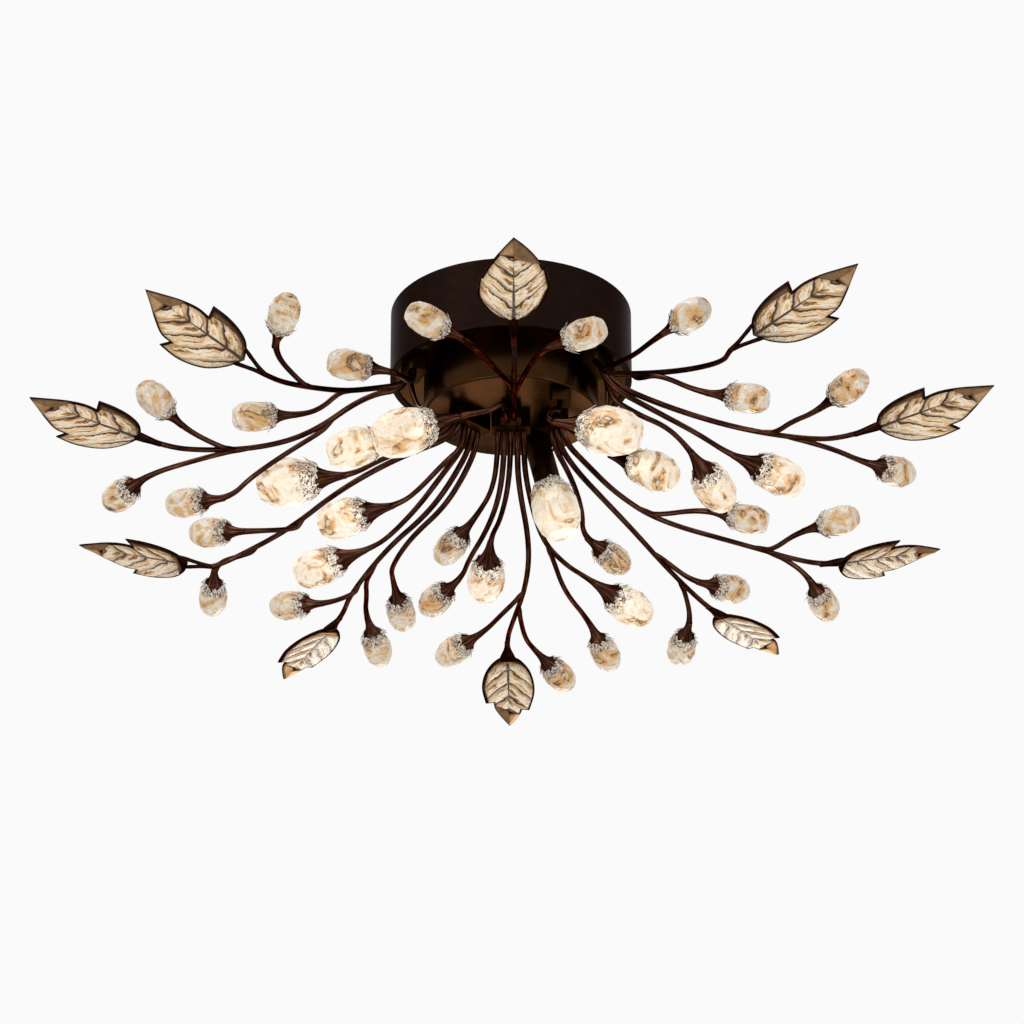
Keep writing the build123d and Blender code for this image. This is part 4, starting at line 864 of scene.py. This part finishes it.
def rods_mesh(cluster, tree, sizes):
    """Every rod of a cluster as one mesh, drawn by geometry nodes along smooth curves."""
    curve = bpy.data.curves.new("rods_" + cluster, "CURVE")
    curve.dimensions = "3D"
    for name in RODS:
        if (BUDS.get(name) or LEAVES[name]).cluster != cluster:
            continue
        points = rod_points(name, sizes)
        spline = curve.splines.new("NURBS")
        spline.points.add(len(points) - 1)
        for point, (place, radius) in zip(spline.points, points):
            point.co = (*place, 1.0)
            point.radius = radius
        spline.order_u = 3
        spline.use_endpoint_u = True
        spline.resolution_u = 10
    return plain_mesh("rods_" + cluster, linked("rods_" + cluster, curve), tree, Sides=ROD_SIDES)


def turned(profile, steps, radius_at, reach_at):
    """Revolve a closed profile of (radius, distance) about Z; both may vary round the turn."""
    shape = bmesh.new()
    rings = []
    for radius, distance in profile:
        if radius == 0.0:
            rings.append([shape.verts.new((0.0, 0.0, distance))])
            continue
        ring = []
        for step in range(steps):
            angle = 2 * math.pi * step / steps
            wide = radius_at(radius, distance, angle)
            far = reach_at(radius, distance, angle)
            ring.append(shape.verts.new((wide * math.cos(angle), wide * math.sin(angle), far)))
        rings.append(ring)
    for ring, after in zip(rings, rings[1:] + rings[:1]):
        if len(ring) == 1 and len(after) == 1:
            continue
        for step in range(steps):
            turn = (step + 1) % steps
            quad = [ring[step % len(ring)], ring[turn % len(ring)]]
            quad += [after[turn % len(after)], after[step % len(after)]]
            shape.faces.new(list(dict.fromkeys(quad)))
    bmesh.ops.recalc_face_normals(shape, faces=shape.faces)
    return shape


def bud_place(bud, spin):
    """Where a bud stands: its neck, with Z along the bud, spun about itself."""
    rotation = heading(bud.turn, bud.rise).to_track_quat("Z", "Y").to_matrix().to_4x4()
    return Matrix.Translation(Vector(bud.neck) * MM) @ rotation @ Matrix.Rotation(spin, 4, "Z")


def sleeve_bud():
    """The bud on the sleeve, in the same terms as the others."""
    neck = Vector(SLEEVE_TOP) + heading(SLEEVE_TURN, SLEEVE_RISE) * SLEEVE_LENGTH
    return Bud("sleeve", "big", neck, SLEEVE_TURN, SLEEVE_RISE)


def bell_mesh(lit, sizes):
    """A fluted bell that flares out of its rod and ends in a ring of pointed petals."""
    outer, inner = BELLS["lit" if lit else "small"]
    profile = [(radius * MM, distance * MM) for distance, radius in outer + inner]
    reach, mouth = [value * MM for value in outer[-1]]
    lip = (inner[0][0] - 0.1) * MM
    flare = 0.9 * MM

    def petal(angle):
        wave = 0.5 + 0.5 * math.cos(sizes.flutes * angle)
        return wave * (0.75 + 0.25 * math.cos(2 * angle + 1.0))

    def grooved(radius, distance, angle):
        depth = sizes.flute_depth * clamped(distance / reach) ** 1.2
        groove = depth * (1.0 - petal(angle)) * min(1.0, radius / mouth)
        return radius - groove + flare * petal(angle) * (distance > lip)

    def petalled(radius, distance, angle):
        if distance < lip:
            return distance
        return distance + sizes.petal_height * (petal(angle) ** 1.6 - 0.3)

    shape = turned(profile, sizes.flutes * 8, grooved, petalled)
    for face in shape.faces:
        face.smooth = True
    mesh = as_mesh(shape, "bell")
    places = [vertex.co.copy() for vertex in mesh.vertices]
    turns = [Vector((place.x, place.y, 0.0)).normalized() * 2.2 for place in places]
    stored(mesh, "round", "FLOAT_VECTOR", turns)
    stored(mesh, "along", "FLOAT", [place.z for place in places])
    return mesh


def crystal_mesh(kind):
    """A cut crystal: the hull of its rings of corners, with a ruff of shards at its root."""
    rings = CUTS[kind]
    shape = bmesh.new()
    chance = random.Random(CUT_SEED)
    for level, (distance, radius, count) in enumerate(rings):
        shift = 0.5 if level % 2 else 0.0
        for corner in range(count):
            angle = 2 * math.pi * (corner + shift) / count
            inner = 0 < level < len(rings) - 1
            wide = radius * (1.0 - 0.05 * chance.random() * inner)
            far = distance + 0.8 * (chance.random() - 0.5) * inner
            shape.verts.new((
                wide * MM * math.cos(angle), wide * MM * math.sin(angle), far * MM,
            ))
    result = bmesh.ops.convex_hull(shape, input=shape.verts)
    loose = [item for item in result["geom_interior"] if isinstance(item, bmesh.types.BMVert)]
    bmesh.ops.delete(shape, geom=loose, context="VERTS")
    bmesh.ops.dissolve_limit(
        shape, angle_limit=math.radians(1.5), verts=shape.verts, edges=shape.edges
    )
    add_shards(shape, kind, chance)
    bmesh.ops.recalc_face_normals(shape, faces=shape.faces)
    tint = shape.faces.layers.float.new("tint")
    ruff = shape.faces.layers.float.new("ruff")
    low, high = RUFFS[kind][:2]
    for face in shape.faces:
        centre = face.calc_center_median()
        face[tint] = chance.random()
        face[ruff] = clamped((high - centre.z / MM) / (high - low))
        face.smooth = False
    return as_mesh(shape, "crystal")


def add_shards(shape, kind, chance):
    """Small leaning prisms of glass that stand out round the root of a crystal."""
    low, high, radius, count = RUFFS[kind]
    for shard in range(count):
        angle = 2 * math.pi * (shard + 0.5 * chance.random()) / count
        out = Vector((math.cos(angle), math.sin(angle), 0.0))
        side = Vector((-out.y, out.x, 0.0))
        share = chance.random()
        foot = out * (radius * 0.72) + UP * (low + (high - low) * 0.25 * share)
        lean = out * (0.55 + 0.5 * share) + UP + side * (chance.random() - 0.5)
        tip = foot + lean.normalized() * (high - low) * (0.42 + 0.22 * share)
        half = 0.9 + 0.8 * chance.random()
        base = [foot + side * half, foot + out * 1.2, foot - side * half, foot - out * 1.2]
        ring = [shape.verts.new(point * MM) for point in base]
        neck = [shape.verts.new((point.lerp(tip, 0.6) + out * 0.5) * MM) for point in base]
        point = shape.verts.new(tip * MM)
        shape.faces.new(ring[::-1])
        for index in range(4):
            after = (index + 1) % 4
            shape.faces.new([ring[index], ring[after], neck[after], neck[index]])
            shape.faces.new([neck[index], neck[after], point])


def through(points, parts):
    """Points on a smooth curve through the given ones."""
    padded = [points[0], *points, points[-1]]
    line = []
    for a, b, c, d in zip(padded, padded[1:], padded[2:], padded[3:]):
        for part in range(parts):
            t = part / parts
            line.append(tuple(
                0.5 * (
                    2 * b[i] + (c[i] - a[i]) * t
                    + (2 * a[i] - 5 * b[i] + 4 * c[i] - d[i]) * t * t
                    + (3 * b[i] - a[i] - 3 * c[i] + d[i]) * t * t * t
                )
                for i in range(len(b))
            ))
    line.append(points[-1])
    return line


def leaf_loop(outline, side):
    """Closed outline of a leaf, from its base round by the wide side to its point and back."""
    lobe_a, blade_a, lobe_b, blade_b = [
        through(points, OUTLINE_PARTS) for points in LEAF_SHAPES[outline]
    ]
    back = (lobe_b + blade_b)[::-1]
    return [Vector((x, y * side)) for x, y in lobe_a + blade_a + back[1:-1]]


def flange_line(x, outline):
    """How far out the window may reach on the wide side, at a distance from the base."""
    lobe = LEAF_SHAPES[outline][0]
    for (x_a, y_a), (x_b, y_b) in zip(lobe, lobe[1:]):
        if x <= x_b:
            break
    edge = y_a + (y_b - y_a) * min(1.0, (x - x_a) / (x_b - x_a))
    share = clamped(x / lobe[-1][0])
    return edge - THIN_RIM - (WIDE_FLANGE[outline] - THIN_RIM) * share


def point_line(y, side):
    """Where the solid point begins: nearer to the base on the wide side."""
    return SOLID_POINT - 6.0 if y * side > 0.0 else SOLID_POINT + 6.0


def window_loop(outer, outline, side, neck):
    """Outline of the window in a rim: drawn in by a thin rim, and by more on the wide side."""
    lobe = LEAF_SHAPES[outline][0]
    count = (len(lobe) - 1) * OUTLINE_PARTS
    last = lobe[-1][0]
    loop = []
    ended = False
    spots = zip(outer[-1:] + outer, outer, outer[1:] + outer[:1])
    for index, (before, point, after) in enumerate(spots):
        into = (point - before).normalized()
        away = (after - point).normalized()
        square = Vector((into.y, -into.x)) * side
        normal = square + Vector((away.y, -away.x)) * side
        if normal.length < 1e-6:
            continue
        normal.normalize()
        moved = point + normal * THIN_RIM / max(0.5, normal.dot(square))
        if point.x > WINDOW_END:
            if not ended:
                loop.append(Vector((SOLID_POINT + 1.0, 0.0)))
            ended = True
            continue
        if moved.x < last + 2.0 and moved.y * side > flange_line(moved.x, outline):
            if index > count:
                continue
            moved.y = side * flange_line(moved.x, outline)
        if not neck < moved.x < point_line(moved.y, side):
            continue
        if inside(moved, outer) and gap_to(moved, outer) > THIN_RIM - 0.25:
            if not loop or (moved - loop[-1]).length > 0.3:
                loop.append(moved)
    return loop + [Vector((neck - 2.5, 0.0))]


def inside(point, loop):
    """Whether a point lies inside a closed loop."""
    found = False
    for first, last in zip(loop, loop[1:] + loop[:1]):
        if (first.y > point.y) != (last.y > point.y):
            cross = first.x + (point.y - first.y) * (last.x - first.x) / (last.y - first.y)
            if point.x < cross:
                found = not found
    return found


def gap_to(point, loop):
    """Distance from a point to a closed loop."""
    best = 1e9
    for first, last in zip(loop, loop[1:] + loop[:1]):
        run = last - first
        share = clamped((point - first).dot(run) / max(run.length_squared, 1e-9))
        best = min(best, (first + run * share - point).length)
    return best


def plate(loops, filler, height):
    """A closed plate inside its first loop and outside the others, swollen on both faces."""
    points = []
    edges = []
    for loop in loops:
        start = len(points)
        points += loop
        edges += [(start + i, start + (i + 1) % len(loop)) for i in range(len(loop))]
    points += filler
    flat, _, faces, _, _, _ = delaunay_2d_cdt(points, edges, [], 1 if len(loops) == 1 else 0, 1e-6)
    kept = []
    for face in faces:
        middle = sum((flat[index] for index in face), Vector((0.0, 0.0))) / len(face)
        if inside(middle, loops[0]) and not any(inside(middle, loop) for loop in loops[1:]):
            kept.append(face)
    shape = bmesh.new()
    upper = {}
    lower = {}
    uses = set()
    for face in kept:
        for index in face:
            if index not in upper:
                x, y = flat[index]
                rise = height(x, y)
                upper[index] = shape.verts.new((x * MM, y * MM, rise * MM))
                lower[index] = shape.verts.new((x * MM, y * MM, -rise * MM))
        shape.faces.new([upper[index] for index in face])
        shape.faces.new([lower[index] for index in reversed(face)])
        uses.update(zip(face, face[1:] + face[:1]))
    for first, last in uses:
        if (last, first) not in uses:
            shape.faces.new([upper[last], upper[first], lower[first], lower[last]])
    bmesh.ops.recalc_face_normals(shape, faces=shape.faces)
    for face in shape.faces:
        face.smooth = True
    return shape


def leaf_place(leaf):
    """Where a leaf stands: its base, with X along the blade and its roll applied."""
    direction = heading(leaf.turn, leaf.rise)
    level = UP.cross(direction).normalized()
    normal = direction.cross(level)
    spin = Matrix.Rotation(math.radians(leaf.roll), 3, direction)
    rotation = Matrix((direction, spin @ level, spin @ normal)).transposed().to_4x4()
    return Matrix.Translation(Vector(leaf.base) * MM) @ rotation


def leaf_pane(leaf, sizes):
    """The pressed pane of a leaf, pillowed between its veins, with its own flat coordinates."""
    side = leaf.side
    loop = window_loop(leaf_loop(leaf.outline, side), leaf.outline, side, leaf.neck)
    filler = []
    for i in range(1, 60):
        for j in range(-24, 24):
            point = Vector((i * PANE_PITCH[0] + (j % 2) * 0.78, j * PANE_PITCH[1]))
            if inside(point, loop) and gap_to(point, loop) > 0.9:
                filler.append(point)

    def swell(x, y):
        out = abs(y)
        run = (x - out * sizes.vein_sweep - out * out * sizes.vein_curl) / (sizes.vein_pitch / MM)
        aside = 2 * min(run % 1.0, 1.0 - run % 1.0)
        share = min(aside, min(1.0, out / 6.0)) * 1.25
        edge = min(1.0, gap_to(Vector((x, y)), loop) / 3.0)
        return 1.0 + sizes.pillow / MM * math.sin(0.5 * math.pi * min(1.0, share)) * edge

    pane = plate([loop], filler, swell)
    coordinates = pane.loops.layers.uv.new("leaf")
    edge = pane.verts.layers.float.new("edge")
    for vertex in pane.verts:
        gap = gap_to(Vector((vertex.co.x / MM, vertex.co.y / MM)), loop)
        vertex[edge] = max(0.0, 1.0 - gap / 4.0)
    for face in pane.faces:
        for corner in face.loops:
            x, y, _ = corner.vert.co
            corner[coordinates].uv = (x * FLAT_SCALE, y * side * FLAT_SCALE)
    return pane


def tube(shape, line):
    """Add a smooth flattened tube through (x, y, half width, half thickness), in millimetres."""
    line = through(line, 4)
    sides = 16
    rings = []
    for index, (x, y, wide, thick) in enumerate(line):
        before = line[max(0, index - 1)]
        after = line[min(len(line) - 1, index + 1)]
        run = Vector((after[0] - before[0], after[1] - before[1], 0.0)).normalized()
        across = Vector((-run.y, run.x, 0.0))
        rings.append([
            shape.verts.new((
                Vector((x, y, 0.0)) + across * wide * math.cos(angle)
                + UP * thick * math.sin(angle)
            ) * MM)
            for angle in (2 * math.pi * step / sides for step in range(sides))
        ])
    faces = [shape.faces.new(rings[0][::-1]), shape.faces.new(rings[-1])]
    for ring, after in zip(rings, rings[1:]):
        for step in range(sides):
            turn = (step + 1) % sides
            faces.append(shape.faces.new([ring[step], ring[turn], after[turn], after[step]]))
    for face in faces:
        face.smooth = True
    bmesh.ops.recalc_face_normals(shape, faces=faces)


def leaf_rim(leaf):
    """The cast rim of a leaf, with a ridged solid point and a neck or a fork for its rod."""
    outline, side, neck, fork = leaf[-4:]
    outer = leaf_loop(outline, side)
    window = window_loop(outer, outline, side, neck)
    filler = []
    for i in range(1, 84):
        for j in range(-27, 28):
            point = Vector((i * RIM_PITCH, j * RIM_PITCH))
            if inside(point, outer) and not inside(point, window):
                if gap_to(point, outer) > 0.5 and gap_to(point, window) > 0.5:
                    filler.append(point)

    def crest(x, y):
        edge = gap_to(Vector((x, y)), outer)
        tip = clamped((x - SOLID_POINT) / 6.0)
        ridge = max(0.0, 1.0 - abs(y) / 6.0) * tip * min(1.0, edge / 2.0)
        return 0.6 + 1.0 * min(1.0, edge / 2.2) + 0.9 * ridge

    rim = plate([outer, window], filler, crest)
    if fork:
        for arm in (1.0, -1.0):
            tube(rim, [
                (-10.0 - fork, 0.0, 1.9, 1.9), (-14.0, arm * 1.7, 1.7, 1.7),
                (-6.0, arm * 4.0, 1.6, 1.6), (1.0, arm * 6.2, 1.7, 1.7), (6.5, arm * 8.6, 0.9, 0.9),
            ])
    else:
        wide = min(1.0, neck / 12.0)
        tube(rim, [
            (-18.0, 0.0, 2.3, 2.3), (-12.0, 0.0, 2.6, 2.5), (-6.0, 0.0, 3.0 + 0.8 * wide, 2.8),
            (-1.0, 0.0, 3.3 + 2.2 * wide, 2.7), (3.0, 0.0, 3.2 + 3.4 * wide, 2.2),
            (7.0, 0.0, 2.0 + 3.0 * wide, 1.2),
        ])
    bright = rim.verts.layers.float.new("bright")
    for vertex in rim.verts:
        x, y = vertex.co.x / MM, vertex.co.y / MM
        # Painted highlight on the solid point, stronger on the narrow side of its ridge than on the
        # wide side; the wide flange, away from its edge, gets a lighter tan too.
        tip = clamped((x - point_line(y, side) + 2.0) / 3.0)
        edge = gap_to(Vector((x, y)), outer)
        tone = 0.95 if y * side < 0.0 else 0.45
        flange = 0.36 * clamped((edge - 1.6) / 3.0) * (8.0 < x < 60.0)
        vertex[bright] = max(tip * tone * min(1.0, edge / 1.4), flange)
    return rim


def pale_world(name):
    """A pale room that looks even to the camera, in metal and through glass, and lights softly."""
    world = bpy.data.worlds.new(name)
    world.use_nodes = True
    nodes = Nodes(world.node_tree)
    nodes.tree.nodes.clear()
    seen = nodes.add("ShaderNodeBackground", {"Color": (0.955, 0.955, 0.955, 1.0), "Strength": 1.0})
    unseen = nodes.add("ShaderNodeBackground", {"Color": (1.0, 0.99, 0.97, 1.0), "Strength": 0.55})
    rays = nodes.add("ShaderNodeLightPath").outputs
    total = rays["Is Camera Ray"]
    for kind in ("Is Glossy Ray", "Is Transmission Ray"):
        both = nodes.add("ShaderNodeMath", {0: total, 1: rays[kind]}, operation="MAXIMUM")
        total = both.outputs[0]
    blend = nodes.add(
        "ShaderNodeMixShader", {0: total, 1: unseen.outputs[0], 2: seen.outputs[0]}
    )
    nodes.add("ShaderNodeOutputWorld", {"Surface": blend.outputs[0]})
    return world


class LIGHT_OT_centre(bpy.types.Operator):
    """Finish the canopy, the hub and the side screws."""

    bl_idname = "ceiling_light.centre"
    bl_label = "Finish the canopy and hub"

    def execute(self, context):
        colours = context.scene.light_colours
        edge = (0.50, 0.49, 0.49)
        dress(bronze("satin_bronze", colours.canopy, 1.6, 0.36, edge, (8.0, 8.0, 90.0)), "canopy_shell")
        golden = bronze("golden_bronze", colours.hub, 1.2, 0.2, (0.55, 0.52, 0.51), (6.0, 6.0, 6.0))
        dress(golden, "base_plate", "hub_drum")
        knob = bronze("knob_bronze", colours.canopy, 2.6, 0.3, edge)
        dress(knob, "front_side_screw", "rear_side_screw")
        return {"FINISHED"}


class LIGHT_OT_fittings(bpy.types.Operator):
    """Finish the fittings inside the canopy and the hub."""

    bl_idname = "ceiling_light.fittings"
    bl_label = "Finish the inner fittings"

    def execute(self, context):
        steel = plain_metal("zinc_plate", (0.62, 0.63, 0.65), 0.28)
        dress(steel, "mounting_bar", "hub_screws", "hub_nuts", "block_screws", "short_screws")
        dress(plain_metal("earth_brass", (0.72, 0.53, 0.22), 0.22), "earth_screw")
        dress(moulded("driver_white", (0.80, 0.80, 0.77), 0.42), "driver_case")
        dress(moulded("terminal_cream", (0.82, 0.79, 0.68), 0.38), "terminal_block")
        dress(moulded("lead_grey", (0.10, 0.10, 0.11), 0.45), "internal_leads")
        dress(moulded("grommet_black", (0.018, 0.018, 0.018), 0.6), "grommet")
        dress(moulded("holder_ceramic", (0.86, 0.84, 0.79), 0.3), "lamp_holders")
        dress(lamp_glow("lamp_frosted", context.scene.light_colours), "lamps")
        return {"FINISHED"}


class LIGHT_OT_branches(bpy.types.Operator):
    """Make the smooth rods, and finish their blocks and the lamp sleeve."""

    bl_idname = "ceiling_light.branches"
    bl_label = "Make the branches"

    def execute(self, context):
        colours = context.scene.light_colours
        block = bronze("block_bronze", scaled(colours.hub, 0.8), 1.3, 0.3, (0.50, 0.48, 0.47))
        dress(block, "stem_blocks", "lamp_sleeve")
        material = rod_bronze("rod_bronze", colours)
        tree = rod_tree(material)
        for cluster in CLUSTERS:
            mesh = rods_mesh(cluster, tree, context.scene.light_sizes)
            own("rods_" + cluster, mesh, material, "rod_metal", "stems_" + cluster)
        return {"FINISHED"}


class LIGHT_OT_bells(bpy.types.Operator):
    """Make the fluted bells that hold the crystals."""

    bl_idname = "ceiling_light.bells"
    bl_label = "Make the bells"

    def execute(self, context):
        sizes = context.scene.light_sizes
        material = rod_bronze("bell_bronze", context.scene.light_colours)
        for cluster in CLUSTERS:
            for lit in (False, True):
                places = [
                    bud_place(bud, index * 0.7) for index, bud in enumerate(BUDS.values())
                    if bud.cluster == cluster and (bud.size != "small") == lit
                ]
                if not places:
                    continue
                name = ("lit_bells_" if lit else "small_bells_") + cluster
                mesh = repeated(name, bell_mesh(lit, sizes), places, material)
                own(name, mesh, material, "bell_metal", "bells_" + cluster)
        return {"FINISHED"}


class LIGHT_OT_crystals(bpy.types.Operator):
    """Make the cut crystals of all the buds."""

    bl_idname = "ceiling_light.crystals"
    bl_label = "Make the crystals"

    def execute(self, context):
        colours = context.scene.light_colours
        # Both glasses carry a painted glow: 0.20 for the lit and big crystals, 0.02 for the small ones.
        plain = cut_glass("bud_crystal_glass", colours, tuple(colours.champagne), 0.02)
        bright = cut_glass("lit_crystal_glass", colours, tuple(colours.cream), 0.20)
        chance = random.Random(SPIN_SEED)
        places = {}
        for bud in (*BUDS.values(), sleeve_bud()):
            group = bud.cluster if bud.size == "small" else bud.size
            places.setdefault(group, []).append(bud_place(bud, chance.uniform(0.0, 2 * math.pi)))
        for group, spots in places.items():
            lit = group in ("lit", "big")
            material = bright if lit else plain
            name = "cut_crystals_" + group
            mesh = repeated(name, crystal_mesh(group if lit else "small"), spots, material)
            node = "lit_crystals" if lit else "small_crystals_" + group
            own(name, mesh, material, "lit_crystal" if lit else "bud_crystal", node)
        return {"FINISHED"}


class LIGHT_OT_leaves(bpy.types.Operator):
    """Make the ten leaves: a cast rim and a pressed pane each."""

    bl_idname = "ceiling_light.leaves"
    bl_label = "Make the leaves"

    def execute(self, context):
        sizes = context.scene.light_sizes
        colours = context.scene.light_colours
        metal = leaf_bronze("leaf_bronze", colours)
        glass = leaf_glass("leaf_crystal_glass", sizes, colours)
        for name, leaf in LEAVES.items():
            for source, material, slot, node in (
                (leaf_rim(leaf), metal, "leaf_metal", name + "_frame"),
                (leaf_pane(leaf, sizes), glass, "leaf_crystal", name + "_crystal"),
            ):
                mesh = as_mesh(source, node + "_cast")
                mesh.transform(leaf_place(leaf))
                own(node + "_cast", mesh, material, slot, node)
        return {"FINISHED"}


class LIGHT_OT_stage(bpy.types.Operator):
    """Set up the camera, the lamps, the pale world and the floor below."""

    bl_idname = "ceiling_light.stage"
    bl_label = "Set the stage"

    def execute(self, context):
        scene = context.scene
        sight = Vector((0.0, math.cos(CAMERA_TILT), math.sin(CAMERA_TILT)))
        camera = linked("camera", bpy.data.cameras.new("camera"))
        camera.location = CAMERA_AIM - sight * CAMERA_DISTANCE
        camera.rotation_euler = (math.radians(90.0) + CAMERA_TILT, 0.0, 0.0)
        camera.data.sensor_width = 36.0
        camera.data.lens = CAMERA_LENS
        camera.data.shift_x = 1.0 / IMAGE_WIDTH
        camera.data.clip_end = 50.0
        scene.camera = camera

        for name, (spot, size, power, tone) in LAMPS.items():
            lamp = linked(name, bpy.data.lights.new(name, "AREA"))
            lamp.location = spot
            lamp.rotation_euler = (CAMERA_AIM - Vector(spot)).to_track_quat("-Z", "Y").to_euler()
            lamp.data.size = size
            lamp.data.energy = power
            lamp.data.color = tone
        scene.world = pale_world("pale_room")
        scene.view_settings.view_transform = "Standard"

        mesh = bpy.data.meshes.new("floor")
        ways = ((-1, -1), (1, -1), (1, 1), (-1, 1))
        mesh.from_pydata(
            [(x * FLOOR_HALF, y * FLOOR_HALF, FLOOR_LEVEL) for x, y in ways], [], [(0, 1, 2, 3)]
        )
        mesh.materials.append(moulded("floor_pale", (0.86, 0.86, 0.85), 0.6, 40.0, 0.98))
        linked("floor", mesh)
        return {"FINISHED"}


class LIGHT_PT_panel(bpy.types.Panel):
    """Sizes, colours and steps of the ceiling light."""

    bl_idname = "LIGHT_PT_panel"
    bl_label = "Ceiling Light"
    bl_space_type = "VIEW_3D"
    bl_region_type = "UI"
    bl_category = "Ceiling Light"

    def draw(self, context):
        for group in (context.scene.light_sizes, context.scene.light_colours):
            for name in group.bl_rna.properties.keys():
                if name not in ("rna_type", "name"):
                    self.layout.prop(group, name)
        for step in STEPS:
            self.layout.operator(step.bl_idname)


STEPS = (
    LIGHT_OT_stage,
    LIGHT_OT_centre,
    LIGHT_OT_fittings,
    LIGHT_OT_branches,
    LIGHT_OT_bells,
    LIGHT_OT_crystals,
    LIGHT_OT_leaves,
)
CLASSES = (LightSizes, LightColours, *STEPS, LIGHT_PT_panel)


def register():
    """Register the classes and hang the settings on the scene."""
    for item in CLASSES:
        bpy.utils.register_class(item)
    bpy.types.Scene.light_sizes = bpy.props.PointerProperty(type=LightSizes)
    bpy.types.Scene.light_colours = bpy.props.PointerProperty(type=LightColours)


def unregister():
    """Take the settings off the scene and unregister the classes."""
    del bpy.types.Scene.light_colours
    del bpy.types.Scene.light_sizes
    for item in reversed(CLASSES):
        bpy.utils.unregister_class(item)


def main():
    """Build every piece in order."""
    register()
    for step in STEPS:
        group, name = step.bl_idname.split(".")
        getattr(getattr(bpy.ops, group), name)()


if __name__ == "__main__":
    main()
